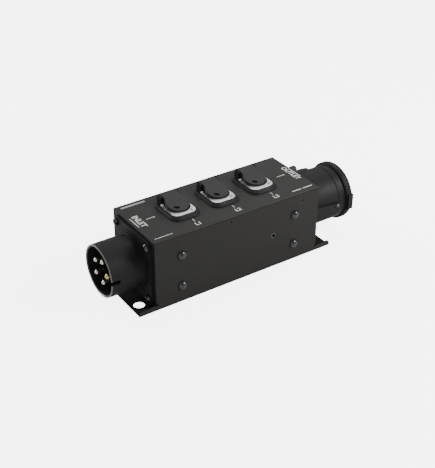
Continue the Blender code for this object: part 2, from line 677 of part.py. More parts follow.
def make_outlet_frame(name, material):
    """Moulded frame with sloping sides and the two hinge cheeks at its back."""
    place = outlet_place(name)
    middle = (FRAME_FRONT + FRAME_REAR) / 2
    frame = block("outlet_frame_" + name, (-FRAME_HALF_X, FRAME_FRONT, GAP),
                  (FRAME_HALF_X, FRAME_REAR, FRAME_HEIGHT), place, material)
    bm = bmesh.new()
    bm.from_mesh(frame.data)
    for vert in bm.verts:
        if vert.co.z > 2 * GAP:
            vert.co.x -= math.copysign(FRAME_TAPER, vert.co.x)
            vert.co.y -= math.copysign(0.7 * FRAME_TAPER, vert.co.y - middle)
    for sign, offset in ((-1, FRAME_ROUND_FRONT), (1, FRAME_ROUND_REAR)):
        uprights = [edge for edge in bm.edges if abs(edge.verts[0].co.z - edge.verts[1].co.z) > MM
                    and all(sign * (vert.co.y - middle) > 16 * MM for vert in edge.verts)]
        bmesh.ops.bevel(bm, geom=uprights, offset=offset, segments=4, affect="EDGES", profile=0.5)
    bm.to_mesh(frame.data)
    bm.free()
    cheek = arc((HINGE_Y, HINGE_Z), CHEEK_RADIUS, 0, 180, 8)
    cheek += [(HINGE_Y - CHEEK_RADIUS, MM), (HINGE_Y + CHEEK_RADIUS, MM)]
    for side in (-1, 1):
        low, high = sorted((side * CHEEK_INNER, side * CHEEK_OUTER))
        unite(frame, flat("hinge_cheek", [cheek], low, high, place @ UPRIGHT))
    cut(frame, rod("well", (0, WELL_Y, -MM), (0, WELL_Y, 2 * FRAME_HEIGHT), WELL_RADIUS, 32, place))
    for x, y in PLATE_SCREWS:
        cut(frame, rod("plate_screw_hole", (x, y, -MM), (x, y, 2 * FRAME_HEIGHT), PLATE_SCREW_HOLE, 8, place))
    cut(frame, cap_pin_rod("pin_hole", name, CHEEK_OUTER + MM, CAP_PIN_HOLE))


def cap_pin_rod(label, name, reach, radius, material=None):
    return rod(label, (-reach, HINGE_Y, HINGE_Z), (reach, HINGE_Y, HINGE_Z), radius, 8,
               outlet_place(name), material)


def make_outlet_flange(name, material):
    """Metal plate whose round opening just breaks its back edge, under the cap's arm."""
    place = outlet_place(name)
    outlines = [rounded_rectangle((-PLATE_HALF_X, PLATE_FRONT), (PLATE_HALF_X, PLATE_REAR),
                                  PLATE_ROUND_FRONT, PLATE_ROUND_REAR)]
    outlines += [circle(centre, PLATE_SCREW_HOLE, 8) for centre in PLATE_SCREWS]
    plate = flat("outlet_flange_" + name, outlines, PLATE_LOW, PLATE_HIGH, place, material)
    cut(plate, rod("well", (0, WELL_Y, 0), (0, WELL_Y, 2 * PLATE_HIGH), WELL_RADIUS, 32, place))


def make_outlet_insert(name, material):
    """Moulded cup whose solid base holds the three contacts."""
    place = outlet_place(name)
    profile = [(0.0, CUP_FLOOR), (CUP_INNER, CUP_FLOOR), (CUP_INNER, CUP_TOP), (CUP_OUTER, CUP_TOP),
               (CUP_OUTER, CUP_BOTTOM), (0.0, CUP_BOTTOM)]
    cup = turned("outlet_insert_" + name, profile, place @ Matrix.Translation((0, WELL_Y, 0)), material, 24)
    for blade in BLADES:
        cut(cup, blade_block("contact_slot", name, blade, GAP, CUP_BOTTOM - MM, CUP_FLOOR + MM))


def blade_block(label, name, blade, grow, low, high):
    x, y = BLADES[blade]
    half_x, half_y = (half + grow for half in BLADE_HALF)
    return block(label, (x - half_x, WELL_Y + y - half_y, low), (x + half_x, WELL_Y + y + half_y, high),
                 outlet_place(name))


def cap_top(y):
    """Height of the cap's sloping top at a distance y from the case's middle line."""
    return CAP_FRONT_TOP + CAP_SLOPE * (y - WELL_Y + CAP_RADIUS)


def make_outlet_cap(name, material):
    """Round cap whose top rises along an arm to the hinge."""
    place = outlet_place(name)
    corner = math.degrees(math.acos(ARM_HALF / CAP_RADIUS))
    tail = HINGE_Y + KNUCKLE_RADIUS + MM
    plan = arc((0, WELL_Y), CAP_RADIUS, 180 - corner, 360 + corner, 24) + [(ARM_HALF, tail), (-ARM_HALF, tail)]
    cap = flat("outlet_cap_" + name, [plan], CAP_ARM_LOW, 2 * HINGE_Z, place, material)
    unite(cap, rod("cap_disc", (0, WELL_Y, CAP_LOW), (0, WELL_Y, CAP_ARM_LOW + 0.1 * MM),
                   CAP_DISC, 24, place))
    front = WELL_Y - CAP_RADIUS - 2 * MM
    side = [(front, cap_top(front)), (front, CAP_LOW - MM), (HINGE_Y - 2 * MM, CAP_LOW - MM)]
    side += arc((HINGE_Y, HINGE_Z), KNUCKLE_RADIUS, -60, 105, 9)
    boolean(cap, "INTERSECT", [flat("cap_side", [side], -2 * ARM_HALF, 2 * ARM_HALF, place @ UPRIGHT)])
    cut(cap, cap_pin_rod("pin_hole", name, ARM_HALF + MM, CAP_PIN_HOLE))
    dent_x, dent_y = DENT_PLACE
    turn = Matrix.Rotation(math.atan2(dent_x, WELL_Y - dent_y), 4, "Z")
    cut(cap, finger_dent(place @ Matrix.Translation((dent_x, dent_y, cap_top(dent_y) + 0.3 * MM)) @ turn))
    return cap


def finger_dent(place):
    bm = bmesh.new()
    size = Matrix.Diagonal((*DENT_HALF, 1.0))
    bmesh.ops.create_uvsphere(bm, u_segments=12, v_segments=6, radius=1.0, matrix=size)
    mesh = bpy.data.meshes.new("finger_dent")
    bm.to_mesh(mesh)
    bm.free()
    return add_piece("finger_dent", mesh, place, None)


def make_outlet_screws(name, material):
    profile = dome_screw(2.0 * MM, 0.9 * MM, 1.1 * MM, 8.0 * MM)
    for number, (x, y) in enumerate(PLATE_SCREWS, 1):
        seat = outlet_place(name) @ Matrix.Translation((x, y, PLATE_HIGH + GAP))
        turned(f"outlet_screw_{name}_{number}", profile, seat, material, 8)


# ---------------------------------------------------------------- wires

def lane_route(name):
    """From the inlet pin's back end, along the conductor's lane, to the socket contact."""
    a, b = contact_centre(name, 1)
    y, z = a, CONNECTOR_Z + b
    start = HALF_LENGTH - CONTACT_BACK - GAP
    lane_y, lane_z = LANES[name]
    half = [(start, y, z), (start - 2 * MM, y, z), (start - 10 * MM, (y + lane_y) / 2, (z + lane_z) / 2),
            (start - 17 * MM, lane_y, lane_z), (start - 30 * MM, lane_y, lane_z)]
    return smooth_route([(-px, py, pz) for px, py, pz in half] + half[::-1])


def branch_route(name, outlet, blade):
    """From the conductor's lane up to the tail of one outlet contact."""
    x, y = BLADES[blade]
    lean = 1 if x > 0 else -1
    x += OUTLETS[outlet]
    y += WELL_Y
    tail = CASE_HEIGHT + BLADE_TAIL
    lane_y, lane_z = LANES[name]
    return smooth_route([(x + lean * 5 * MM, lane_y, lane_z), (x + lean * 2 * MM, lane_y, lane_z + 3 * MM),
                         (x, (2 * lane_y + y) / 3, tail - 5 * MM), (x, y, tail - 3.5 * MM),
                         (x, y, tail + 1.2 * MM)])


def make_wire(name, material):
    """A conductor with its branch leads and the outlet contacts crimped on them."""
    wire = tube("wire_" + name, lane_route(name), WIRE_RADIUS, material)
    blade = name if name in BLADES else "line"
    for outlet in OUTLETS if name in BLADES else (name,):
        unite(wire, tube("branch", branch_route(name, outlet, blade), LEAD_RADIUS))
        unite(wire, blade_block("contact_blade", outlet, blade, 0.0, BLADE_TAIL, BLADE_TIP))
    if name == "PE":
        unite(wire, tube("bond", bond_route(), LEAD_RADIUS))
        rings = [circle((0, 0), EARTH_LUG, 12), circle((0, 0), EARTH_SHANK + GAP, 12)]
        low = -SHEET - GAP - 1.2 * MM
        unite(wire, flat("bond_ring", rings, low, -SHEET - GAP, front_place(EARTH_X, EARTH_Z)))


def bond_route():
    """From the earth conductor's lane to the ring behind the front wall."""
    lane_y, lane_z = LANES["PE"]
    ring_y = -HALF_WIDTH + SHEET + GAP + 0.9 * MM
    foot = EARTH_Z - EARTH_LUG
    return smooth_route([(EARTH_X - 16 * MM, lane_y, lane_z),
                         (EARTH_X - 10 * MM, lane_y - 3 * MM, lane_z - 3 * MM),
                         (EARTH_X, ring_y + 3 * MM, foot - 5 * MM), (EARTH_X, ring_y + 1.4 * MM, foot - 1 * MM),
                         (EARTH_X, ring_y + 0.6 * MM, foot + 1.2 * MM)])


# ---------------------------------------------------------------- assembly

def main():
    coat = make_material("black_powder_coat", (0.035, 0.034, 0.033), 0.5)
    moulding = make_material("black_moulding", (0.018, 0.018, 0.018), 0.45)
    cap_plastic = make_material("cap_moulding", (0.03, 0.03, 0.03), 0.5)
    nickel = make_material("satin_nickel", (0.78, 0.77, 0.75), 0.3, 1.0)
    zinc = make_material("zinc_steel", (0.6, 0.6, 0.6), 0.35, 1.0)
    black_screw = make_material("black_screw", (0.02, 0.02, 0.02), 0.3, 0.6)
    brass = make_material("brass", (0.75, 0.6, 0.3), 0.3, 1.0)
    rubber = make_material("black_rubber", (0.02, 0.02, 0.02), 0.8)
    insulation = {"L1": (0.2, 0.08, 0.03), "L2": (0.02, 0.02, 0.02), "L3": (0.3, 0.3, 0.3),
                  "N": (0.02, 0.1, 0.5), "PE": (0.2, 0.5, 0.05)}

    make_base_tray(coat)
    make_top_cover(coat)
    make_wall_screws(black_screw)
    make_earth_bolt(black_screw)

    make_inlet_housing(moulding)
    make_corner_screws("inlet", -1, black_screw)
    make_carrier("inlet_contact_carrier", -1, SHROUD_INNER - GAP, INLET_FACE, GAP, moulding)
    make_inlet_pins(nickel, brass)

    make_socket_housing(moulding)
    make_corner_screws("socket", 1, black_screw)
    make_carrier("socket_contact_carrier", 1, CARRIER_RADIUS, CARRIER_FACE, 1.3 * MM, moulding)
    make_socket_contacts(brass)
    make_latch_screw(zinc)
    lid = make_socket_lid(moulding)
    lid_gasket = make_lid_gasket(rubber)
    lid_pin_rod("socket_lid_hinge_pin", 11 * MM, LID_PIN_RADIUS, zinc)
    make_lid_spring(zinc)
    hang_on_hinge("socket_lid_axis", (HALF_LENGTH + LID_PIN_OUT, LID_PIN_Y, CONNECTOR_Z), (lid, lid_gasket))

    for name in OUTLETS:
        make_outlet_frame(name, moulding)
        make_outlet_flange(name, nickel)
        make_outlet_insert(name, moulding)
        make_outlet_screws(name, zinc)
        cap = make_outlet_cap(name, cap_plastic)
        cap_pin_rod("outlet_hinge_pin_" + name, name, CHEEK_OUTER - 0.2 * MM, CAP_PIN_RADIUS,
                    black_screw)
        axis = outlet_place(name) @ Vector((0, HINGE_Y, HINGE_Z))
        hang_on_hinge("outlet_cap_axis_" + name, axis, (cap,))

    for name, colour in insulation.items():
        make_wire(name, make_material("insulation_" + name, colour, 0.5))


clear_scene()
PARTS = new_collection("power_distribution_box")
CUTTERS = new_collection("cutters")
main()
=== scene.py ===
"""Looks of the portable power distribution box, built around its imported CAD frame.

Frame: metres, +Z up, +X from the pin inlet to the lidded socket, -Y is the front wall.
"""

import math

import bmesh
import bpy
from mathutils import Matrix, Vector


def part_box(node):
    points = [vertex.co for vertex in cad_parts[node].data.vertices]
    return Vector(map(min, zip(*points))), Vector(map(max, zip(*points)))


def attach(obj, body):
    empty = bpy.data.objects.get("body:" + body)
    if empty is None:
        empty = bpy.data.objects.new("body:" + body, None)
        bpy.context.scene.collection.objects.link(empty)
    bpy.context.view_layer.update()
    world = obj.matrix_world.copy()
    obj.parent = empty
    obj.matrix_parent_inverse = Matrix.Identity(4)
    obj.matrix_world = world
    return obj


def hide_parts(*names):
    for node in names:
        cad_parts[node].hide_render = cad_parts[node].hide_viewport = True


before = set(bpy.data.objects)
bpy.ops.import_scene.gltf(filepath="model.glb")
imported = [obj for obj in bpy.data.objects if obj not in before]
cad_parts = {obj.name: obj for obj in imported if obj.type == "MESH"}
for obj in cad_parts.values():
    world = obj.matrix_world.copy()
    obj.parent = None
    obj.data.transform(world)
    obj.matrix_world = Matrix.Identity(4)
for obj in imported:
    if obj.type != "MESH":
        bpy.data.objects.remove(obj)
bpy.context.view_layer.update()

MM = 0.001
GAP = 0.3 * MM
FINE = 96                            # sides of a large turned piece
OUTLETS = ("L1", "L2", "L3")
CONTACTS = ("PE", "N", "L3", "L2", "L1")

# Places read from the frame
cover_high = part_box("top_cover")[1]
tray_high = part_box("base_tray")[1]
inlet_low, inlet_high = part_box("inlet_housing")
lid_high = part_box("socket_lid")[1]
END = cover_high.x
TOP = cover_high.z
WIDE = cover_high.y
EAR = tray_high.x
WALL_TOP = tray_high.z
AXIS_Z = (inlet_low.z + inlet_high.z) / 2
SHROUD_REACH = -inlet_low.x - END
LID_FACE = lid_high.x - END

# Case
SHEET = 1.5 * MM
COVER_SHEET = 1.7 * MM
BEND = 1.5 * MM
LIP = 6.5 * MM
LIP_ROUND = 3.0 * MM
LIP_RELIEF = 1.8 * MM                # radius of the round cut at the foot of each lip
EAR_HOLE_OUT = 10.0 * MM
EAR_HOLE_Y = 22.5 * MM
EAR_HOLE = 6.0 * MM
SIGHT_HOLES = ((-10.6 * MM, 74.0 * MM), (80.0 * MM, 70.0 * MM))
SIGHT_HOLE = 0.9 * MM
PANEL_HOLE = 28.0 * MM
FLANGE_DEPTH = 40.0 * MM
FLANGE_BOTTOM = 8.0 * MM
FLANGE_TOP = 76.0 * MM
WALL_SCREW = (4.8 * MM, 3.2 * MM, 1.9 * MM, 9.0 * MM)    # head radius, rise, shank radius, length
WALL_SCREW_HOLE = 2.3 * MM
EARTH_HEAD = 3.6 * MM
EARTH_SHANK = 2.0 * MM
EARTH_LENGTH = 12.0 * MM
EARTH_SUNK = 0.4 * MM
EARTH_SOCKET = 2.1 * MM
EARTH_SOCKET_DEPTH = 3.4 * MM
EARTH_HOLE = 4.0 * MM
PRINT_RISE = 0.03 * MM
PRINT_DEEP = 0.02 * MM

# End connectors: heights are distances out from the end panel
FLANGE_FACE = 2.8 * MM
FLANGE_HALF = 36.0 * MM
FLANGE_ROUND = 6.0 * MM
CORNER_SCREW = 30.0 * MM
CORNER_SCREW_SIZE = (4.2 * MM, 3.2 * MM, 1.5 * MM, 8.0 * MM)
CORNER_SCREW_HOLE = 1.9 * MM
SHROUD_OUTER = 28.2 * MM
SHROUD_INNER = 25.4 * MM
SKIRT_OUTER = 27.3 * MM
SKIRT_DEPTH = 20.0 * MM
KEYWAY_LENGTH = 11.0 * MM
KEYWAY_WIDTH = 4.6 * MM
INLET_FACE = 4.0 * MM
BARREL_OUTER = 30.0 * MM
BARREL_INNER = 28.6 * MM
BARREL_REACH = 40.0 * MM
CARRIER_RADIUS = 24.4 * MM
CARRIER_FACE = 32.0 * MM
LATCH_REACH = 32.4 * MM
LUG_ANGLE = 53                       # degrees from the back of the barrel, upward
LUG_OUT = 13.2 * MM
LUG_RISE = 35.0 * MM
LUG_RADIUS = 4.3 * MM
LUG_HALF = 2.5 * MM
LID_BACK = BARREL_REACH + GAP
LID_STEP = 49.0 * MM
LID_RIM = 32.6 * MM
LID_INNER = 28.3 * MM
LID_FLOOR = 53.4 * MM
LID_PIN_Y = 34.6 * MM
LID_PIN_OUT = 40.6 * MM
LID_KNUCKLE = 3.3 * MM
LID_PIN = 1.3 * MM
LID_PIN_HOLE = 1.5 * MM
LID_PIN_REACH = 11.0 * MM
HINGE_LUG = (7.4 * MM, 10.4 * MM)    # inner and outer face of each lug on the barrel
HINGE_KNUCKLE = (3.6 * MM, 7.1 * MM)
SPRING_RADIUS = 2.3 * MM
SPRING_WIRE = 0.35 * MM
SPRING_LENGTH = 5.6 * MM
SPRING_TURNS = 4
GRIP_TEETH = 60

# Outlets: heights are above the cover's top face
WELL_Y = 2.2 * MM
WELL_RADIUS = 12.2 * MM
FRAME_HEIGHT = 2.5 * MM
HINGE_Y = 19.0 * MM
HINGE_Z = 8.2 * MM
KNUCKLE = 4.0 * MM
CHEEK_INNER = 9.6 * MM
CHEEK_OUTER = 11.4 * MM
ARM_HALF = CHEEK_INNER - GAP
CAP_RADIUS = 12.1 * MM
CAP_DISC = 11.3 * MM
CAP_LOW = 2.6 * MM
CAP_ARM_LOW = 4.2 * MM
CAP_FRONT_TOP = 5.0 * MM
CAP_SLOPE = (HINGE_Z + KNUCKLE - CAP_FRONT_TOP) / (HINGE_Y - WELL_Y + CAP_RADIUS)
CHEEK_RADIUS = 4.2 * MM
CAP_PIN = 0.8 * MM
CAP_PIN_HOLE = 0.95 * MM
PLATE_LOW = (-13.6 * MM, -15.8 * MM)
PLATE_HIGH = (13.6 * MM, 14.2 * MM)
PLATE_TOP = 3.6 * MM
PLATE_ROUNDS = (6.5 * MM, 3.5 * MM)  # front and rear corners
PLATE_SCREW = (2.0 * MM, 0.9 * MM, 1.1 * MM, 8.0 * MM)
BEZEL_LOW = (-17.4 * MM, -20.2 * MM)
BEZEL_HIGH = (17.4 * MM, 24.4 * MM)
BEZEL_ROUNDS = (9.4 * MM, 6.4 * MM)
SKIRT_RADIUS = 12.8 * MM
SKIRT_LOW = 3.75 * MM
SKIRT_HIGH = 4.5 * MM
SKIRT_SHIFT = (0.6 * MM, -0.8 * MM)   # clear of the plate's two screws
DENT_PLACE = (-4.2 * MM, -4.4 * MM)
DENT_HALF = (3.4 * MM, 1.9 * MM, 1.6 * MM)

# Studio
FLOOR_GLOW = 5.0                     # seen by the camera only, so that it doesn't light the part
FLOOR_HALF = 40.0
WORLD_LIGHT = 0.3
LIGHT_TARGET = (0, 0, 0.05)
CAMERA_AZIMUTH = -33.8
CAMERA_ELEVATION = 32.1
CAMERA_DISTANCE = 1.043
CAMERA_TARGET = (1.75 * MM, 3.3 * MM, 32.7 * MM)
CAMERA_LENS = 75.4

HERE = Matrix.Identity(4)
UPRIGHT = Matrix(((0, 0, 1, 0), (1, 0, 0, 0), (0, 1, 0, 0), (0, 0, 0, 1)))  # outline in YZ, depth in X
SIDEWAYS = Matrix(((1, 0, 0, 0), (0, 0, -1, 0), (0, 1, 0, 0), (0, 0, 0, 1)))  # outline in XZ, depth in -Y


# ---------------------------------------------------------------- node materials

def new_material(name):
    material = bpy.data.materials.new(name)
    material.use_nodes = True
    return material, material.node_tree.nodes, material.node_tree.links


def add_noise(nodes, links, scale, detail=4.0, roughness=0.6):
    """Noise in the object's own space; the scale is in cells per metre."""
    place = nodes.new("ShaderNodeTexCoord")
    noise = nodes.new("ShaderNodeTexNoise")
    noise.inputs["Scale"].default_value = scale
    noise.inputs["Detail"].default_value = detail
    noise.inputs["Roughness"].default_value = roughness
    links.new(place.outputs["Object"], noise.inputs["Vector"])
    return noise.outputs["Fac"]


def add_map(nodes, links, source, low, high, start=0.3, end=0.7):
    remap = nodes.new("ShaderNodeMapRange")
    remap.inputs["From Min"].default_value = start
    remap.inputs["From Max"].default_value = end
    remap.inputs["To Min"].default_value = low
    remap.inputs["To Max"].default_value = high
    links.new(source, remap.inputs["Value"])
    return remap.outputs["Result"]


def add_mix(nodes, links, factor, first, second):
    mix = nodes.new("ShaderNodeMix")
    mix.data_type = "RGBA"
    mix.inputs["A"].default_value = (*first, 1.0)
    mix.inputs["B"].default_value = (*second, 1.0)
    links.new(factor, mix.inputs["Factor"])
    return mix.outputs["Result"]


def add_bump(nodes, links, heights, shader):
    """Stack bumps given as (height, distance in metres, strength)."""
    last = None
    for height, distance, strength in heights:
        bump = nodes.new("ShaderNodeBump")
        bump.inputs["Distance"].default_value = distance
        bump.inputs["Strength"].default_value = strength
        links.new(height, bump.inputs["Height"])
        if last:
            links.new(last, bump.inputs["Normal"])
        last = bump.outputs["Normal"]
    links.new(last, shader.inputs["Normal"])


def powder_coat(name, dark, light, rough):
    """Black powder coat: fine orange peel and a little dust."""
    material, nodes, links = new_material(name)
    shader = nodes["Principled BSDF"]
    shader.inputs["Specular IOR Level"].default_value = 0.22
    cloud = add_noise(nodes, links, 35, 3)
    grain = add_noise(nodes, links, 2600, 3)
    peel = add_noise(nodes, links, 900, 2)
    links.new(add_mix(nodes, links, cloud, dark, light), shader.inputs["Base Color"])
    links.new(add_map(nodes, links, cloud, rough, rough + 0.08), shader.inputs["Roughness"])
    add_bump(nodes, links, [(peel, 0.00006, 0.35), (grain, 0.00002, 0.3)], shader)
    return material


def moulding(name, dark, light, rough, gloss=0.22):
    """Moulded plastic with a spark-eroded texture and faint flow marks."""
    material, nodes, links = new_material(name)
    shader = nodes["Principled BSDF"]
    shader.inputs["Specular IOR Level"].default_value = gloss
    cloud = add_noise(nodes, links, 60, 4)
    grain = add_noise(nodes, links, 4200, 2)
    links.new(add_mix(nodes, links, cloud, dark, light), shader.inputs["Base Color"])
    links.new(add_map(nodes, links, cloud, rough - 0.05, rough + 0.06), shader.inputs["Roughness"])
    add_bump(nodes, links, [(grain, 0.00002, 0.35)], shader)
    return material


def grey(value, warmth=0.0):
    """Colour of a near-black surface, slightly warm if wanted."""
    return (value, value * (1 - 0.5 * warmth), value * (1 - warmth))


def metal(name, colour, rough, stretch=(1.0, 1.0, 1.0), scale=900):
    """Plated metal with fine tooling lines and small stains."""
    material, nodes, links = new_material(name)
    shader = nodes["Principled BSDF"]
    shader.inputs["Metallic"].default_value = 1.0
    place = nodes.new("ShaderNodeTexCoord")
    lines = nodes.new("ShaderNodeMapping")
    lines.inputs["Scale"].default_value = stretch
    links.new(place.outputs["Object"], lines.inputs["Vector"])
    noise = nodes.new("ShaderNodeTexNoise")
    noise.inputs["Scale"].default_value = scale
    noise.inputs["Detail"].default_value = 3.0
    links.new(lines.outputs["Vector"], noise.inputs["Vector"])
    cloud = add_noise(nodes, links, 150, 4)
    dull = tuple(0.82 * value for value in colour)
    links.new(add_mix(nodes, links, cloud, colour, dull), shader.inputs["Base Color"])
    spread = add_map(nodes, links, noise.outputs["Fac"], rough - 0.05, rough + 0.08)
    links.new(spread, shader.inputs["Roughness"])
    add_bump(nodes, links, [(noise.outputs["Fac"], 0.00001, 0.25)], shader)
    return material


def print_ink():
    material, nodes, links = new_material("white print")
    shader = nodes["Principled BSDF"]
    patchy = add_noise(nodes, links, 1500, 3)
    links.new(add_mix(nodes, links, patchy, (0.9, 0.9, 0.88), (0.72, 0.72, 0.7)), shader.inputs["Base Color"])
    links.new(add_map(nodes, links, patchy, 0.4, 0.6), shader.inputs["Roughness"])
    return material


def insulation(name, colour):
    """Extruded wire insulation: slight lengthwise streaks."""
    material, nodes, links = new_material(name)
    shader = nodes["Principled BSDF"]
    streak = add_noise(nodes, links, 400, 3)
    shade = tuple(0.7 * value for value in colour)
    links.new(add_mix(nodes, links, streak, colour, shade), shader.inputs["Base Color"])
    links.new(add_map(nodes, links, streak, 0.35, 0.5), shader.inputs["Roughness"])
    add_bump(nodes, links, [(streak, 0.00002, 0.2)], shader)
    return material


MATERIALS = {
    "powder_coat": powder_coat("black powder coat", grey(0.018, 0.1), grey(0.024, 0.12), 0.42),
    "moulded_black": moulding("black moulding", grey(0.009), grey(0.013), 0.55),
    "cap_black": moulding("cap rubber", grey(0.029), grey(0.038), 0.55),
    "seal_rubber": moulding("seal rubber", grey(0.012), grey(0.018), 0.7),
    "satin_nickel": metal("satin nickel", (0.92, 0.915, 0.90), 0.34, (1.0, 8.0, 1.0)),
    "zinc_steel": metal("zinc plate", (0.72, 0.73, 0.74), 0.26),
    "contact_nickel": metal("nickel contact", (0.90, 0.86, 0.77), 0.24, (1.0, 6.0, 6.0)),
    "brass": metal("brass", (0.80, 0.62, 0.32), 0.26, (1.0, 6.0, 6.0)),
    "black_screw": moulding("black oxide", grey(0.006), grey(0.012), 0.22, 0.9),
    "wire_brown": insulation("brown insulation", (0.20, 0.08, 0.03)),
    "wire_black": insulation("black insulation", (0.02, 0.02, 0.02)),
    "wire_grey": insulation("grey insulation", (0.32, 0.32, 0.32)),
    "wire_blue": insulation("blue insulation", (0.02, 0.10, 0.50)),
    "wire_green": insulation("green insulation", (0.16, 0.42, 0.05)),
}
EDGE_WEAR_AND_HIGHLIGHT = {                            # lighter colour on bevelled edges: rubbed wear plus painted highlight
    "powder_coat": powder_coat("rubbed coat with painted highlight", grey(0.02, 0.1), grey(0.055, 0.12), 0.3),
    "moulded_black": moulding("rubbed moulding with painted highlight", grey(0.012), grey(0.03), 0.3, 0.4),
    "cap_black": moulding("rubbed rubber with painted highlight", grey(0.02), grey(0.035), 0.42),
    "black_screw": moulding("rubbed oxide with painted highlight", grey(0.03), grey(0.08), 0.2, 0.8),
    "satin_nickel": metal("polished nickel", (0.93, 0.925, 0.91), 0.2),
}
INK = print_ink()
# Lighter colour for the inlet's mouth rim: painted highlight.
MOUTH_PAINTED_HIGHLIGHT = moulding("mouth rim painted highlight", grey(0.08), grey(0.2), 0.3, 0.6)
DULL_ZINC = metal("dull zinc", (0.22, 0.22, 0.22), 0.42)
# Darker than the black moulding: painted shade deep inside the inlet's shroud.
CARRIER_PAINTED_SHADE = moulding("contact carrier", grey(0.004), grey(0.006), 0.6, 0.12)
RECESS_PAINTED_SHADE = moulding("shaded recess", grey(0.004), grey(0.007), 0.7, 0.1)


# ---------------------------------------------------------------- shapes

def arc(centre, radius, start, end, steps):
    points = []
    for index in range(steps + 1):
        angle = math.radians(start + (end - start) * index / steps)
        points.append((centre[0] + radius * math.cos(angle), centre[1] + radius * math.sin(angle)))
    return points


def circle(centre, radius, sides=32):
    return arc(centre, radius, 0, 360, sides)[:-1]


def soften(points, closed=False, steps=5):
    """Round each (x, y, cut) corner; the cut is the length taken off each side of it."""
    result = []
    count = len(points)
    for index, (x, y, cut) in enumerate(points):
        corner = Vector((x, y))
        if not cut or (not closed and index in (0, count - 1)):
            result.append((x, y))
            continue
        before = (Vector(points[index - 1][:2]) - corner).normalized() * cut
        after = (Vector(points[(index + 1) % count][:2]) - corner).normalized() * cut
        for step in range(steps + 1):
            t = step / steps
            result.append(tuple(corner + before * (1 - t) ** 2 + after * t ** 2))
    return result


def rounded_rectangle(low, high, front, rear, steps=8):
    """Rectangle whose two low corners have the front radius and whose two high ones the rear radius."""
    corners = ((high[0] - rear, high[1] - rear, rear), (low[0] + rear, high[1] - rear, rear),
               (low[0] + front, low[1] + front, front), (high[0] - front, low[1] + front, front))
    outline = []
    for quarter, (x, y, radius) in enumerate(corners):
        outline += arc((x, y), radius, 90 * quarter, 90 * quarter + 90, steps)
    return outline


def mesh_from(bm, place=HERE):
    bmesh.ops.transform(bm, matrix=place, verts=bm.verts)
    bmesh.ops.recalc_face_normals(bm, faces=bm.faces)
    mesh = bpy.data.meshes.new("shape")
    bm.to_mesh(mesh)
    bm.free()
    return mesh


def lathe(profile, place=HERE, sides=FINE, closed=False):
    """Turn (radius, height) points about the local Z axis."""
    bm = bmesh.new()
    rings = []
    for radius, height in profile:
        if radius == 0:
            rings.append([bm.verts.new((0, 0, height))])
            continue
        ring = [bm.verts.new((x, y, height)) for x, y in circle((0, 0), radius, sides)]
        rings.append(ring)
    pairs = list(zip(rings, rings[1:]))
    if closed:
        pairs.append((rings[-1], rings[0]))
    for upper, lower in pairs:
        for index in range(sides):
            after = (index + 1) % sides
            corners = [upper[index % len(upper)], upper[after % len(upper)],
                       lower[after % len(lower)], lower[index % len(lower)]]
            bm.faces.new(list(dict.fromkeys(corners)))
    return mesh_from(bm, place)


def slab(outlines, low, high, place=HERE):
    """A plate from outlines in the local XY plane, the inner ones being its holes."""
    curve = bpy.data.curves.new("outline", "CURVE")
    curve.dimensions = "2D"
    curve.fill_mode = "BOTH"
    curve.extrude = (high - low) / 2
    for outline in outlines:
        spline = curve.splines.new("POLY")
        spline.points.add(len(outline) - 1)
        for point, (x, y) in zip(spline.points, outline):
            point.co = (x, y, 0, 1)
        spline.use_cyclic_u = True
    holder = bpy.data.objects.new("outline", curve)
    mesh = bpy.data.meshes.new_from_object(holder)
    bpy.data.objects.remove(holder)
    bm = bmesh.new()
    bm.from_mesh(mesh)
    bpy.data.meshes.remove(mesh)
    bmesh.ops.remove_doubles(bm, verts=bm.verts, dist=0.002 * MM)
    return mesh_from(bm, place @ Matrix.Translation((0, 0, (low + high) / 2)))


def brick(low, high, place=HERE):
    low = Vector(low)
    high = Vector(high)
    bm = bmesh.new()
    bmesh.ops.create_cube(bm, size=1.0, matrix=Matrix.Translation((low + high) / 2)
                          @ Matrix.Diagonal((*(high - low), 1.0)))
    return mesh_from(bm, place)


def rod(start, end, radius, sides=24, place=HERE):
    start = Vector(start)
    end = Vector(end)
    turn = (end - start).to_track_quat("Z", "Y").to_matrix().to_4x4()
    bm = bmesh.new()
    bmesh.ops.create_cone(bm, cap_ends=True, segments=sides, radius1=radius, radius2=radius,
                          depth=(end - start).length)
    return mesh_from(bm, place @ Matrix.Translation((start + end) / 2) @ turn)


def tube(route, radius, sides=3):
    """Round wire along an open route."""
    curve = bpy.data.curves.new("wire", "CURVE")
    curve.dimensions = "3D"
    curve.bevel_depth = radius
    curve.bevel_resolution = sides
    curve.use_fill_caps = True
    spline = curve.splines.new("POLY")
    spline.points.add(len(route) - 1)
    for point, place in zip(spline.points, route):
        point.co = (*place, 1)
    holder = bpy.data.objects.new("wire", curve)
    mesh = bpy.data.meshes.new_from_object(holder)
    bpy.data.objects.remove(holder)
    return mesh


def joined(*meshes):
    """Several meshes as one, left as separate shells."""
    bm = bmesh.new()
    for mesh in meshes:
        bm.from_mesh(mesh)
    return mesh_from(bm)


def boolean(shown, operation, meshes):
    """Apply each mesh in turn to the shown object."""
    for mesh in meshes:
        operand = bpy.data.objects.new("operand", mesh)
        bpy.context.scene.collection.objects.link(operand)
        modifier = shown.modifiers.new("boolean", "BOOLEAN")
        modifier.operation = operation
        modifier.solver = "EXACT"
        modifier.object = operand
        bpy.context.view_layer.update()
        graph = bpy.context.evaluated_depsgraph_get()
        result = bpy.data.meshes.new_from_object(shown.evaluated_get(graph))
        shown.modifiers.remove(modifier)
        shown.data = result
        bpy.data.objects.remove(operand)


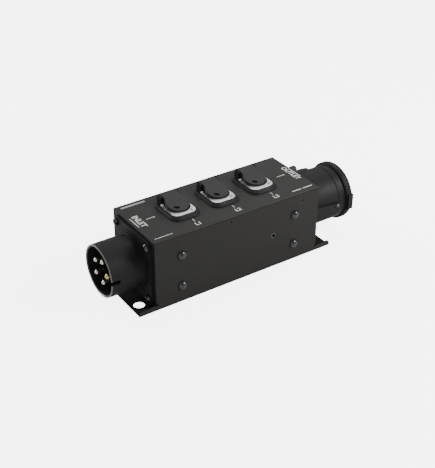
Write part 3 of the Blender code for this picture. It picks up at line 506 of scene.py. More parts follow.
def piece(name, mesh, body, slot, *nodes, cuts=(), adds=(), edge=0.0, sharp=35, material=None):
    """A shown piece: unions, cuts, a fine rounded edge, shading, its body and the nodes it stands for."""
    shown = bpy.data.objects.new(name.replace(" ", "_") + "_look", mesh)
    bpy.context.scene.collection.objects.link(shown)
    boolean(shown, "UNION", adds)
    boolean(shown, "DIFFERENCE", cuts)
    bm = bmesh.new()
    bm.from_mesh(shown.data)
    bmesh.ops.remove_doubles(bm, verts=bm.verts, dist=0.003 * MM)
    bmesh.ops.dissolve_degenerate(bm, edges=bm.edges, dist=0.003 * MM)
    bm.to_mesh(shown.data)
    bm.free()
    shown.data.materials.clear()
    shown.data.materials.append(material or MATERIALS[slot])
    # The second material, used by the bevel below, colours edges lighter where the slot has an edge colour:
    # rubbed wear plus painted highlight.
    shown.data.materials.append(EDGE_WEAR_AND_HIGHLIGHT.get(slot, MATERIALS[slot]))
    shown.data.shade_smooth()
    if edge:
        rounding = shown.modifiers.new("edges", "BEVEL")
        rounding.width = edge
        rounding.segments = 2
        rounding.limit_method = "ANGLE"
        rounding.angle_limit = math.radians(sharp)
        rounding.use_clamp_overlap = True
        rounding.material = 1
    else:
        shown.data.set_sharp_from_angle(angle=math.radians(sharp))
    flats = shown.modifiers.new("flats", "WEIGHTED_NORMAL")
    flats.mode = "FACE_AREA"
    flats.weight = 80
    flats.keep_sharp = True
    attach(shown, body)
    if nodes:
        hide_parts(*nodes)
    return shown


# ---------------------------------------------------------------- placing

def end_place(side):
    """Local Z points out of the end panel and local Y points up; side is -1 for the inlet end."""
    turn = Matrix(((0, side, 0), (0, 0, 1), (side, 0, 0))).transposed().to_4x4()
    return Matrix.Translation((side * END, 0, AXIS_Z)) @ turn


def wall_place(x, z, side=-1):
    """Local Z points out of the front (-1) or rear (1) wall."""
    turn = Matrix.Rotation(-side * math.pi / 2, 4, "X")
    return Matrix.Translation((x, side * WIDE, z)) @ turn


def centre_of(node):
    low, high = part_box(node)
    return (low + high) / 2


def outlet_place(name):
    return Matrix.Translation((centre_of("outlet_frame_" + name).x, 0, TOP))


def contact_places(side):
    """Each contact's name, radius and centre in its end connector's frame."""
    stem = "inlet_pin_" if side < 0 else "socket_contact_"
    for name in CONTACTS:
        low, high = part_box(stem + name)
        middle = (low + high) / 2
        yield name, (high.y - low.y) / 2, (side * middle.y, middle.z - AXIS_Z)


def corner_places(side):
    for a in (-CORNER_SCREW, CORNER_SCREW):
        for b in (-CORNER_SCREW, CORNER_SCREW):
            yield a, b


def lug_place():
    """Local X is world Y, local Y is out of the socket end, local Z is down."""
    turn = Matrix(((0, 1, 0), (1, 0, 0), (0, 0, -1))).to_4x4()
    return Matrix.Translation((END, 0, AXIS_Z)) @ turn


def latch_place():
    """Local X is out of the socket end, local Y is up, local Z is towards the front."""
    turn = Matrix(((1, 0, 0), (0, 0, -1), (0, 1, 0))).to_4x4()
    return Matrix.Translation((END, 0, AXIS_Z)) @ turn


# ---------------------------------------------------------------- screws

def screw_mesh(head, rise, shank, length, recess="cross"):
    """Domed or pan head with a drive recess, its underside at height zero."""
    dome = [(0.0, rise)] + [(head * math.sin(math.radians(a)), rise * math.cos(math.radians(a)))
                            for a in range(15, 90, 15)]
    profile = dome + [(head, 0.12 * rise), (0.96 * head, 0.0), (shank, 0.0), (shank, 0.3 * MM - length),
                      (shank - 0.3 * MM, -length), (0.0, -length)]
    mesh = lathe(profile, sides=32)
    holder = bpy.data.objects.new("screw", mesh)
    bpy.context.scene.collection.objects.link(holder)
    boolean(holder, "DIFFERENCE", recess_meshes(head, rise, recess))
    made = holder.data
    bpy.data.objects.remove(holder)
    return made


def recess_meshes(head, rise, recess):
    wide, deep = 0.5 * head, 0.55 * rise
    if recess == "cross":
        arm = 0.13 * head
        return [brick((-wide, -arm, rise - deep), (wide, arm, 2 * rise)),
                brick((-arm, -wide, rise - deep), (arm, wide, 2 * rise))]
    if recess == "hex":
        return [rod((0, 0, rise - deep), (0, 0, 2 * rise), 0.42 * head, 6)]
    return []


def place_mesh(mesh, place):
    copy = mesh.copy()
    copy.transform(place)
    return copy


def make_case_screws():
    mesh = screw_mesh(*WALL_SCREW, "none")
    for number in range(1, 5):
        node = f"wall_screw_{number}"
        middle = centre_of(node)
        seat = wall_place(middle.x, middle.z) @ Matrix.Translation((0, 0, GAP))
        piece(f"wall screw {number}", place_mesh(mesh, seat), "case", "black_screw", node, edge=0.08 * MM)
    make_earth_bolt()


def make_earth_bolt():
    """Sunk countersunk screw with a hexagonal socket."""
    middle = centre_of("earth_bolt")
    place = wall_place(middle.x, middle.z)
    profile = soften([(0.0, -EARTH_SUNK, 0), (EARTH_HEAD, -EARTH_SUNK, 0.15 * MM),
                      (EARTH_HEAD, -EARTH_SUNK - 0.2 * MM, 0), (EARTH_SHANK, -1.6 * MM, 0),
                      (EARTH_SHANK, 0.2 * MM - EARTH_LENGTH, 0), (EARTH_SHANK - 0.3 * MM, -EARTH_LENGTH, 0),
                      (0.0, -EARTH_LENGTH, 0)])
    socket = rod((0, 0, -EARTH_SOCKET_DEPTH), (0, 0, MM), EARTH_SOCKET, 6, place)
    piece("earth bolt", lathe(profile, place, 48), "case", "black_screw", "earth_bolt", cuts=[socket])


def make_flange_screws(stem, side):
    mesh = screw_mesh(*CORNER_SCREW_SIZE, "hex")
    for number, (a, b) in enumerate(corner_places(side), 1):
        slight_turn = Matrix.Rotation(a + b, 4, "Z")
        seat = end_place(side) @ Matrix.Translation((a, b, FLANGE_FACE + GAP)) @ slight_turn
        screw = place_mesh(mesh, seat)
        piece(f"{stem} screw {number}", screw, "case", "black_screw", f"{stem}_screw_{number}")


# ---------------------------------------------------------------- case

def wall_hole(radius, sides, x, z):
    return rod((0, 0, -2 * SHEET), (0, 0, SHEET), radius, sides, wall_place(x, z))


def make_tray():
    """Folded channel with lips along its ears."""
    inner = WIDE - SHEET
    outline = [(-WIDE, WALL_TOP)] + arc((-WIDE + BEND, BEND), BEND, 180, 270, 8)
    outline += arc((WIDE - BEND, BEND), BEND, 270, 360, 8)
    outline += [(WIDE, WALL_TOP), (inner, WALL_TOP), (inner, SHEET), (-inner, SHEET), (-inner, WALL_TOP)]
    deep = WIDE + 5 * MM
    cuts = []
    for side in (-1, 1):
        above, past = WALL_TOP + 5 * MM, EAR + 5 * MM
        round_centre = (EAR - LIP_ROUND, LIP - LIP_ROUND)
        notch = [(END, above), (END, LIP)] + arc(round_centre, LIP_ROUND, 90, 0, 8)
        notch += [(past, LIP - LIP_ROUND), (past, above)]
        cuts.append(slab([[(side * x, z) for x, z in notch]], -deep, deep, SIDEWAYS))
        x, z = side * END, LIP + 0.7 * LIP_RELIEF
        cuts.append(rod((x, -deep, z), (x, deep, z), LIP_RELIEF, 24))
        x, y = side * (END + EAR_HOLE_OUT), side * EAR_HOLE_Y
        cuts.append(rod((x, y, -SHEET), (x, y, 2 * SHEET), EAR_HOLE, 48))
    for number in range(1, 5):
        middle = centre_of(f"wall_screw_{number}")
        cuts.append(wall_hole(WALL_SCREW_HOLE, 24, middle.x, middle.z))
    for x, z in SIGHT_HOLES:
        cuts.append(wall_hole(SIGHT_HOLE, 16, x, z))
    middle = centre_of("earth_bolt")
    cuts.append(wall_hole(EARTH_HOLE, 40, middle.x, middle.z))
    piece("base tray", slab([outline], -EAR, EAR, UPRIGHT), "case", "powder_coat", "base_tray",
          cuts=cuts, edge=0.25 * MM)


def make_cover():
    """Top plate with rolled edges, end panels and side flanges."""
    half_y = WIDE - SHEET - GAP
    low = TOP - COVER_SHEET
    round_over = arc((-WIDE + BEND, TOP - BEND), BEND, 180, 90, 8)
    section = [(-WIDE, low)] + round_over + [(-y, z) for y, z in reversed(round_over)] + [(WIDE, low)]
    adds, cuts = [], []
    for side in (-1, 1):
        x_low, x_high = sorted((side * END, side * (END - SHEET)))
        adds.append(brick((x_low, -half_y, SHEET + GAP), (x_high, half_y, TOP - BEND)))
        x_low, x_high = sorted((side * (END - 0.5 * SHEET), side * (END - FLANGE_DEPTH)))
        for back in (-1, 1):
            near, far = sorted((back * half_y, back * (half_y - SHEET)))
            adds.append(brick((x_low, near, FLANGE_BOTTOM), (x_high, far, FLANGE_TOP)))
        cuts.append(rod((0, 0, -3 * SHEET), (0, 0, SHEET), PANEL_HOLE, FINE, end_place(side)))
        corner = [(END - BEND, TOP + MM), (END - BEND, TOP)] + arc((END - BEND, TOP - BEND), BEND, 90, 0, 8)
        corner += [(END + MM, TOP - BEND), (END + MM, TOP + MM)]
        cuts.append(slab([[(side * x, z) for x, z in corner]], -WIDE - MM, WIDE + MM, SIDEWAYS))
    for name in OUTLETS:
        place = outlet_place(name)
        cuts.append(rod((0, WELL_Y, -2 * COVER_SHEET), (0, WELL_Y, MM), WELL_RADIUS, 64, place))
    piece("top cover", slab([section], -END, END, UPRIGHT), "case", "powder_coat", "top_cover",
          adds=adds, cuts=cuts, edge=0.2 * MM)


# ---------------------------------------------------------------- end connectors

def flange_mesh(side):
    outline = rounded_rectangle((-FLANGE_HALF, -FLANGE_HALF), (FLANGE_HALF, FLANGE_HALF),
                                FLANGE_ROUND, FLANGE_ROUND)
    holes = [circle((a, b), CORNER_SCREW_HOLE, 24) for a, b in corner_places(side)]
    return slab([outline] + holes, GAP, FLANGE_FACE, end_place(side))


def make_inlet():
    place = end_place(-1)
    reach = SHROUD_REACH
    collar = SHROUD_OUTER + 2.8 * MM
    outside = soften([(0.0, reach, 0), (SHROUD_OUTER - 0.2 * MM, reach, 1.0 * MM),
                      (SHROUD_OUTER, 31 * MM, 0), (SHROUD_OUTER, 4.9 * MM, 0.3 * MM),
                      (SHROUD_OUTER + 0.9 * MM, 4.7 * MM, 0.2 * MM), (SHROUD_OUTER + 0.9 * MM, 3.5 * MM, 0),
                      (collar, 3.5 * MM, 0.3 * MM), (collar, 1.4 * MM, 0), (SKIRT_OUTER, 1.0 * MM, 0),
                      (SKIRT_OUTER, -SKIRT_DEPTH, 0.5 * MM), (0.0, -SKIRT_DEPTH, 0)])
    past = reach + MM
    bore = soften([(0.0, past, 0), (SHROUD_INNER + 2.0 * MM, past, 0), (SHROUD_INNER + 1.0 * MM, reach, 0),
                   (SHROUD_INNER, reach - 1.2 * MM, 0.5 * MM), (SHROUD_INNER, -SKIRT_DEPTH - MM, 0),
                   (0.0, -SKIRT_DEPTH - MM, 0)])
    half = KEYWAY_WIDTH / 2
    start = reach - KEYWAY_LENGTH
    near, far = SHROUD_INNER - 3 * MM, SHROUD_OUTER + 3 * MM
    keyway = brick((near, -half, start + half), (far, half, past), place)
    key_end = rod((near, 0, start + half), (far, 0, start + half), half, 24, place)
    shell = piece("inlet housing", lathe(outside, place), "case", "moulded_black", "inlet_housing",
                  adds=[flange_mesh(-1)], cuts=[lathe(bore, place), keyway, key_end], edge=0.25 * MM)
    shell.data.materials.append(MOUTH_PAINTED_HIGHLIGHT)
    # Faces at the shroud's mouth take the lighter rim colour: painted highlight.
    for face in shell.data.polygons:
        face.material_index = 2 * int(face.center.x < 0.8 * MM - END - reach)
    make_inlet_carrier(place)
    make_pins(place)
    make_flange_screws("inlet", -1)


def make_inlet_carrier(place):
    radius = SHROUD_INNER - GAP
    back = -SKIRT_DEPTH + 2 * MM
    face = INLET_FACE
    profile = soften([(0.0, face, 0), (20.0 * MM, face, 0.5 * MM), (20.6 * MM, face - 1.6 * MM, 0.4 * MM),
                      (22.4 * MM, face - 1.6 * MM, 0.4 * MM), (23.0 * MM, face, 0.5 * MM),
                      (radius, face, 0.6 * MM), (radius, back, 0.4 * MM), (0.0, back, 0)])
    cuts = []
    for _, width, (a, b) in contact_places(-1):
        cuts.append(rod((a, b, back - MM), (a, b, face + MM), width + GAP, 32, place))
        cuts.append(rod((a, b, face - 0.8 * MM), (a, b, face + MM), width + 1.2 * MM, 32, place))
    # The inlet carrier takes the darker moulding: painted shade inside the shroud.
    piece("inlet contact carrier", lathe(profile, place), "case", "moulded_black", "inlet_contact_carrier",
          cuts=cuts, edge=0.15 * MM, material=CARRIER_PAINTED_SHADE)


def make_pins(place):
    tip = SHROUD_REACH - 0.9 * MM
    for name, radius, (a, b) in contact_places(-1):
        profile = soften([(0.0, tip, 0), (0.45 * radius, tip, 0.3 * MM), (radius, tip - 1.6 * MM, 0.5 * MM),
                          (radius, 6 * MM, 0.2 * MM), (radius - 0.15 * MM, 5.6 * MM, 0),
                          (radius - 0.15 * MM, 5.0 * MM, 0), (radius, 4.6 * MM, 0), (radius, -23.7 * MM, 0),
                          (radius - 0.4 * MM, -24 * MM, 0), (0.0, -24 * MM, 0)])
        slot = "brass" if name == "PE" else "contact_nickel"
        seat = place @ Matrix.Translation((a, b, 0))
        piece("inlet pin " + name, lathe(profile, seat, 40), "case", slot, "inlet_pin_" + name)


def make_socket():
    place = end_place(1)
    collar = BARREL_OUTER + 2.2 * MM
    outside = soften([(0.0, BARREL_REACH, 0), (BARREL_OUTER, BARREL_REACH, 0.6 * MM),
                      (BARREL_OUTER, 5.6 * MM, 1.0 * MM), (collar, 3.8 * MM, 0.4 * MM),
                      (collar, 1.4 * MM, 0), (SKIRT_OUTER, 1.0 * MM, 0),
                      (SKIRT_OUTER, -SKIRT_DEPTH, 0.5 * MM), (0.0, -SKIRT_DEPTH, 0)])
    skirt = CARRIER_RADIUS + GAP
    bore = [(0.0, BARREL_REACH + MM), (BARREL_INNER, BARREL_REACH + MM), (BARREL_INNER, FLANGE_FACE),
            (skirt, FLANGE_FACE), (skirt, -SKIRT_DEPTH - MM), (0.0, -SKIRT_DEPTH - MM)]
    pad = [(2, 6, 0), (2, -13, 0), (39, -9, 1.5), (39, 3.2, 1.5), (30, 3.2, 6)]
    pad = soften([(x * MM, y * MM, cut * MM) for x, y, cut in pad], closed=True)
    foot = BARREL_OUTER - 4 * MM
    lug = [(foot, 31 * MM), (foot + 4 * MM, 31 * MM), (LID_PIN_Y + 2.2 * MM, 37.6 * MM)]
    lug += arc((LID_PIN_Y, LID_PIN_OUT), LID_KNUCKLE, -40, 180, 20)
    lug += [(LID_PIN_Y - LID_KNUCKLE, BARREL_REACH - 0.4 * MM), (foot, BARREL_REACH - 0.4 * MM)]
    adds = [flange_mesh(1), slab([pad], 20 * MM, LATCH_REACH, latch_place()), stop_lug()]
    for side in (-1, 1):
        low, high = sorted(side * face for face in HINGE_LUG)
        adds.append(slab([lug], low, high, lug_place()))
    piece("socket housing", lathe(outside, place), "case", "moulded_black", "socket_housing", adds=adds,
          cuts=[lathe(bore, place), lid_pin_mesh(LID_PIN_REACH + MM, LID_PIN_HOLE)], edge=0.3 * MM)
    make_socket_carrier(place)
    make_flange_screws("socket", 1)


def stop_lug():
    """Solid round lug with a low rib behind it, standing on the barrel's upper back."""
    angle = math.radians(LUG_ANGLE)
    turn = Matrix(((1, 0, 0), (0, math.cos(angle), math.sin(angle)), (0, -math.sin(angle), math.cos(angle))))
    place = Matrix.Translation((END, 0, AXIS_Z)) @ turn.transposed().to_4x4()
    foot = BARREL_OUTER - MM
    outline = arc((LUG_OUT, LUG_RISE), LUG_RADIUS, 180, -30, 24)
    outline += [(21.0 * MM, 33.2 * MM), (30.0 * MM, 32.2 * MM), (33.0 * MM, foot),
                (LUG_OUT - LUG_RADIUS, foot)]
    return slab([outline], -LUG_HALF, LUG_HALF, place)


def lid_pin_mesh(reach, radius):
    x = END + LID_PIN_OUT
    return rod((x, LID_PIN_Y, AXIS_Z - reach), (x, LID_PIN_Y, AXIS_Z + reach), radius, 32)


def make_socket_carrier(place):
    face = CARRIER_FACE
    back = -SKIRT_DEPTH + 2 * MM
    profile = soften([(0.0, face, 0), (7.0 * MM, face, 0.3 * MM), (7.4 * MM, face - 0.8 * MM, 0.3 * MM),
                      (18.4 * MM, face - 0.8 * MM, 0.3 * MM), (18.8 * MM, face, 0.3 * MM),
                      (CARRIER_RADIUS, face, 0.8 * MM), (CARRIER_RADIUS, back, 0.4 * MM), (0.0, back, 0)])
    cuts = []
    for _, width, (a, b) in contact_places(1):
        cuts.append(rod((a, b, back - MM), (a, b, face + MM), width + 0.4 * MM, 32, place))
    piece("socket contact carrier", lathe(profile, place), "case", "moulded_black", "socket_contact_carrier",
          cuts=cuts, edge=0.15 * MM)
    tip = face - 2.0 * MM
    for name, outer, (a, b) in contact_places(1):
        bore = outer - 0.8 * MM
        floor = -20 * MM
        sleeve = [(0.0, floor), (bore, floor), (bore, tip - 0.6 * MM), (bore + 0.3 * MM, tip),
                  (outer - 0.2 * MM, tip), (outer, tip - 0.3 * MM), (outer, -24 * MM), (0.0, -24 * MM)]
        seat = place @ Matrix.Translation((a, b, 0))
        split = brick((-0.35 * MM, -2 * outer, tip - 12 * MM), (0.35 * MM, 2 * outer, tip + MM), seat)
        piece("socket contact " + name, lathe(sleeve, seat, 32), "case", "brass", "socket_contact_" + name,
              cuts=[split])


def make_latch_screw():
    seat = latch_place() @ Matrix.Translation((36 * MM, 0.4 * MM, LATCH_REACH + GAP))
    mesh = screw_mesh(2.0 * MM, 1.4 * MM, 1.0 * MM, GAP)
    piece("latch screw", place_mesh(mesh, seat), "case", "zinc_steel", "latch_screw", material=DULL_ZINC)


def make_lid():
    """Socket lid: stepped cap with a toothed grip ring, a pull tab and two hinge knuckles."""
    place = end_place(1)
    face = LID_FACE
    profile = soften([(0.0, face - 1.2 * MM, 0), (22.0 * MM, face - 1.2 * MM, 0.6 * MM),
                      (23.0 * MM, face, 0.6 * MM), (LID_RIM - 1.0 * MM, face, 1.0 * MM),
                      (LID_RIM - 0.6 * MM, face - 1.2 * MM, 0.2 * MM),
                      (LID_RIM - 0.6 * MM, LID_STEP + 0.4 * MM, 0.2 * MM), (BARREL_OUTER, LID_STEP, 0.3 * MM),
                      (BARREL_OUTER, LID_BACK, 0.5 * MM), (LID_INNER, LID_BACK, 0.2 * MM),
                      (LID_INNER, LID_FLOOR, 0.4 * MM), (0.0, LID_FLOOR, 0)])
    tab = brick((-LID_RIM - 1.2 * MM, -9.0 * MM, LID_STEP + 1.6 * MM),
                (-LID_RIM + 2.0 * MM, 9.0 * MM, face - 0.9 * MM), place)
    foot = BARREL_OUTER - 0.8 * MM
    start = LID_BACK + 0.5 * MM
    knuckle = [(foot, start + 7.5 * MM), (foot, start), (LID_PIN_Y - LID_KNUCKLE, start)]
    knuckle += arc((LID_PIN_Y, LID_PIN_OUT), LID_KNUCKLE, 180, 400, 20) + [(foot + 3 * MM, start + 7.5 * MM)]
    adds = [grip_ring(place), tab]
    for side in (-1, 1):
        low, high = sorted(side * face for face in HINGE_KNUCKLE)
        adds.append(slab([knuckle], low, high, lug_place()))
    piece("socket lid", lathe(profile, place), "socket_lid", "moulded_black", "socket_lid", adds=adds,
          cuts=[lid_pin_mesh(LID_PIN_REACH - 2 * MM, LID_PIN_HOLE)], edge=0.2 * MM)
    make_lid_fittings(place)


def grip_ring(place):
    """Ring of rounded teeth round the lid's rim."""
    outline = []
    for tooth in range(GRIP_TEETH):
        for share, cut in ((0.0, 0.7 * MM), (0.22, 0.0), (0.6, 0.0), (0.82, 0.7 * MM)):
            radius = LID_RIM - cut
            angle = 2 * math.pi * (tooth + share) / GRIP_TEETH
            outline.append((radius * math.cos(angle), radius * math.sin(angle)))
    low, high = LID_STEP + 1.0 * MM, LID_FACE - 1.8 * MM
    return slab([outline, circle((0, 0), LID_RIM - 2.5 * MM, FINE)], low, high, place)


def make_lid_fittings(place):
    inner, outer = LID_INNER - 1.8 * MM, LID_INNER - GAP
    high = LID_BACK + 2.6 * MM
    gasket = soften([(inner, high, 0.3 * MM), (outer, high, 0), (outer, LID_BACK, 0.6 * MM),
                     (inner, LID_BACK, 0.6 * MM)], closed=True)
    piece("lid gasket", lathe(gasket, place, closed=True), "socket_lid", "seal_rubber", "socket_lid_gasket")
    reach = LID_PIN_REACH
    pin = soften([(0.0, reach, 0), (LID_PIN, reach, 0.4 * MM), (LID_PIN, -reach, 0.4 * MM), (0.0, -reach, 0)])
    x = END + LID_PIN_OUT
    axis = Matrix.Translation((x, LID_PIN_Y, AXIS_Z))
    piece("lid hinge pin", lathe(pin, axis, 32), "case", "zinc_steel", "socket_lid_hinge_pin")
    coil = []
    count = 24 * SPRING_TURNS
    for index in range(count + 1):
        angle = 2 * math.pi * index / 24
        rise = SPRING_LENGTH * (index / count - 0.5)
        coil.append((x + SPRING_RADIUS * math.cos(angle), LID_PIN_Y + SPRING_RADIUS * math.sin(angle),
                     AXIS_Z + rise))
    piece("lid spring", tube(coil, SPRING_WIRE), "case", "zinc_steel", "socket_lid_spring")


# ---------------------------------------------------------------- outlets

def bezel_outline(inset):
    """The bezel's plan, drawn in more at its sides than at its front and rear."""
    low = (BEZEL_LOW[0] + inset, BEZEL_LOW[1] + 0.7 * inset)
    high = (BEZEL_HIGH[0] - inset, BEZEL_HIGH[1] - 0.7 * inset)
    front, rear = (radius - 0.3 * inset for radius in BEZEL_ROUNDS)
    return rounded_rectangle(low, high, front, rear, 10)


def loft(sections):
    """Closed solid through outlines with the same count of points, each at its own height."""
    bm = bmesh.new()
    rings = [[bm.verts.new((x, y, height)) for x, y in outline] for outline, height in sections]
    count = len(rings[0])
    for lower, upper in zip(rings, rings[1:]):
        for index in range(count):
            after = (index + 1) % count
            bm.faces.new((lower[index], lower[after], upper[after], upper[index]))
    bm.faces.new(reversed(rings[0]))
    bm.faces.new(rings[-1])
    return bm


def make_outlet_frame(name, place):
    """Sloping bezel with a soft shoulder, an opening and two round-topped hinge cheeks."""
    steps = ((0.2, 0.3), (0.0, 0.5), (0.1, 0.8), (0.6, 1.1), (2.2, 2.1), (2.7, 2.4), (3.2, 2.5))
    body = mesh_from(loft([(bezel_outline(inset * MM), height * MM) for inset, height in steps]), place)
    cheek = arc((HINGE_Y, HINGE_Z), CHEEK_RADIUS, 0, 180, 24)
    cheek += [(HINGE_Y - CHEEK_RADIUS, MM), (HINGE_Y + CHEEK_RADIUS, MM)]
    adds = []
    for side in (-1, 1):
        low, high = sorted((side * CHEEK_INNER, side * CHEEK_OUTER))
        adds.append(slab([cheek], low, high, place @ UPRIGHT))
    cuts = [rod((0, WELL_Y, -MM), (0, WELL_Y, 4 * FRAME_HEIGHT), WELL_RADIUS, 64, place),
            cap_pin_mesh(place, CHEEK_OUTER + MM, CAP_PIN_HOLE)]
    piece("outlet frame " + name, body, "case", "moulded_black", "outlet_frame_" + name,
          adds=adds, cuts=cuts, edge=0.25 * MM)


def cap_pin_mesh(place, reach, radius):
    return rod((-reach, HINGE_Y, HINGE_Z), (reach, HINGE_Y, HINGE_Z), radius, 24, place)


def make_outlet_flange(name, place):
    outline = rounded_rectangle(PLATE_LOW, PLATE_HIGH, *PLATE_ROUNDS)
    mesh = slab([outline], FRAME_HEIGHT + GAP, PLATE_TOP, place)
    cuts = [rod((0, WELL_Y, 0), (0, WELL_Y, 8 * MM), WELL_RADIUS, 64, place)]
    piece("outlet flange " + name, mesh, "case", "satin_nickel", "outlet_flange_" + name,
          cuts=cuts, edge=0.22 * MM)
    pan = screw_mesh(*PLATE_SCREW)
    for number in (1, 2):
        node = f"outlet_screw_{name}_{number}"
        middle = centre_of(node)
        seat = Matrix.Translation((middle.x, middle.y, TOP + PLATE_TOP + GAP))
        seat = seat @ Matrix.Rotation(number, 4, "Z")
        piece(f"outlet screw {name} {number}", place_mesh(pan, seat), "case", "zinc_steel", node)


def cap_top(y):
    return CAP_FRONT_TOP + CAP_SLOPE * (y - WELL_Y + CAP_RADIUS)


def make_cap(name, place):
    """Round cap with a sloping top, an arm to the hinge and a finger recess."""
    body = "outlet_cap_" + name
    corner = math.degrees(math.acos(ARM_HALF / CAP_RADIUS))
    tail = HINGE_Y + KNUCKLE + MM
    plan = arc((0, WELL_Y), CAP_RADIUS, 180 - corner, 360 + corner, 60)
    plan += [(ARM_HALF, tail), (-ARM_HALF, tail)]
    front = WELL_Y - CAP_RADIUS - 2 * MM
    side = [(front, cap_top(front)), (front, CAP_LOW - MM), (HINGE_Y - 2 * MM, CAP_LOW - MM)]
    side += arc((HINGE_Y, HINGE_Z), KNUCKLE, -60, 105, 24)
    shell = bpy.data.objects.new("shell", slab([plan], CAP_ARM_LOW, 2 * HINGE_Z, place))
    bpy.context.scene.collection.objects.link(shell)
    boolean(shell, "INTERSECT", [slab([side], -2 * ARM_HALF, 2 * ARM_HALF, place @ UPRIGHT)])
    mesh = shell.data
    bpy.data.objects.remove(shell)
    dent_x, dent_y = DENT_PLACE
    turn = Matrix.Rotation(math.atan2(dent_x, WELL_Y - dent_y), 4, "Z")
    seat = place @ Matrix.Translation((dent_x, dent_y, cap_top(dent_y) + 0.3 * MM)) @ turn
    cuts = [cap_pin_mesh(place, ARM_HALF + MM, CAP_PIN_HOLE), finger_dent(seat)]
    shown = piece("outlet cap " + name, mesh, body, "cap_black", body, cuts=cuts, edge=0.7 * MM, sharp=50)
    shown.data.materials.append(RECESS_PAINTED_SHADE)
    # Faces in the finger dent take the near-black moulding: painted shade in the recess.
    for face in shown.data.polygons:
        depth = Vector([along / half for along, half in zip(seat.inverted() @ face.center, DENT_HALF)])
        if depth.length < 1.02:
            face.material_index = 2
    make_cap_rubber(name, place, body)
    make_cap_pin(name, place)


def make_cap_rubber(name, place, body):
    """Seal disc that enters the opening, and a thin skirt that covers the plate's inner edge."""
    disc = soften([(0.0, CAP_ARM_LOW + 0.4 * MM, 0), (CAP_DISC, CAP_ARM_LOW + 0.4 * MM, 0),
                   (CAP_DISC, CAP_LOW, 0.5 * MM), (0.0, CAP_LOW, 0)])
    centre = place @ Matrix.Translation((0, WELL_Y, 0))
    piece("outlet cap seal " + name, lathe(disc, centre, 64), body, "seal_rubber")
    lip = soften([(CAP_DISC, SKIRT_HIGH, 0), (SKIRT_RADIUS - 0.5 * MM, SKIRT_HIGH, 0.3 * MM),
                  (SKIRT_RADIUS, SKIRT_LOW, 0.1 * MM), (CAP_DISC, SKIRT_LOW, 0)], closed=True)
    around = place @ Matrix.Translation((SKIRT_SHIFT[0], WELL_Y + SKIRT_SHIFT[1], 0))
    piece("outlet cap skirt " + name, lathe(lip, around, 64, closed=True), body, "seal_rubber")


def make_cap_pin(name, place):
    reach = CHEEK_OUTER - 0.2 * MM
    cut = 0.25 * MM
    pin = soften([(0.0, reach, 0), (CAP_PIN, reach, cut), (CAP_PIN, -reach, cut), (0.0, -reach, 0)])
    axis = place @ Matrix.Translation((0, HINGE_Y, HINGE_Z)) @ Matrix.Rotation(math.pi / 2, 4, "Y")
    piece("outlet hinge pin " + name, lathe(pin, axis, 24), "case", "black_screw", "outlet_hinge_pin_" + name)


def finger_dent(place):
    bm = bmesh.new()
    size = Matrix.Diagonal((*DENT_HALF, 1.0))
    bmesh.ops.create_uvsphere(bm, u_segments=32, v_segments=16, radius=1.0, matrix=size)
    return mesh_from(bm, place)


def make_insert(name, place):
    """Cup with slots for its contacts."""
    top, floor, bottom = 2.3 * MM, -14 * MM, -30 * MM
    inner, outer = 10.2 * MM, 11.6 * MM
    cup = soften([(0.0, floor, 0), (inner, floor, 0.5 * MM), (inner, top, 0.3 * MM),
                  (outer, top, 0.4 * MM), (outer, bottom, 0.5 * MM), (0.0, bottom, 0)])
    seat = place @ Matrix.Translation((0, WELL_Y, 0))
    slots = []
    for x, y in ((0.0, -5.2 * MM), (-4.6 * MM, 3 * MM), (4.6 * MM, 3 * MM)):
        slots.append(brick((x - MM, y - 2.2 * MM, bottom - MM), (x + MM, y + 2.2 * MM, floor + MM), seat))
    piece("outlet insert " + name, lathe(cup, seat, 64), "case", "moulded_black", "outlet_insert_" + name,
          cuts=slots, edge=0.12 * MM)


def make_outlets():
    for name in OUTLETS:
        place = outlet_place(name)
        make_outlet_frame(name, place)
        make_outlet_flange(name, place)
        make_insert(name, place)
        make_cap(name, place)


# ---------------------------------------------------------------- print

def ink(name, mesh):
    piece(name, mesh, "case", "powder_coat", material=INK)


def bar(start, end, width):
    """A printed line on the cover's top face."""
    start = Vector((*start, 0))
    end = Vector((*end, 0))
    across = Vector((start.y - end.y, end.x - start.x, 0)).normalized() * width / 2
    outline = [(start - across)[:2], (end - across)[:2], (end + across)[:2], (start + across)[:2]]
    low = TOP + PRINT_RISE
    return slab([outline], low, low + PRINT_DEEP)


def label(text, centre, size, turn=0):
    """A short label printed on the cover's top face."""
    font = bpy.data.curves.new("label", "FONT")
    font.body = text
    font.size = size
    font.align_x = "CENTER"
    font.align_y = "CENTER"
    font.offset = 0.02 * size
    font.extrude = PRINT_DEEP / 2
    holder = bpy.data.objects.new("label", font)
    mesh = bpy.data.meshes.new_from_object(holder)
    bpy.data.objects.remove(holder)
    mesh.transform(Matrix.Translation((*centre, TOP + PRINT_RISE + PRINT_DEEP / 2))
                   @ Matrix.Rotation(math.radians(turn), 4, "Z"))
    return mesh


def arrow(tip, tail, width):
    """A printed arrow with a solid head."""
    tip = Vector(tip)
    tail = Vector(tail)
    along = (tip - tail).normalized()
    across = Vector((-along.y, along.x))
    neck = tip - along * 2.4 * width
    outline = [tip, neck + across * 1.4 * width, neck - across * 1.4 * width]
    low = TOP + PRINT_RISE
    head = slab([[tuple(point) for point in outline]], low, low + PRINT_DEEP)
    return joined(head, bar(tail, neck, 0.9 * width))


PLAIN_RULES = (                      # start and end along X, Y, width, in millimetres
    ("rear left rule 1", -95.5, -67.5, 35.2, 0.7),
    ("rear left rule 2", -95.5, -67.5, 33.6, 0.7),
    ("front left rule", -96.5, -76.0, -34.6, 0.7),
    ("front right rule 1", 70.5, 82.0, -34.4, 1.3),
    ("front right rule 2", 84.5, 96.5, -34.4, 1.3),
)


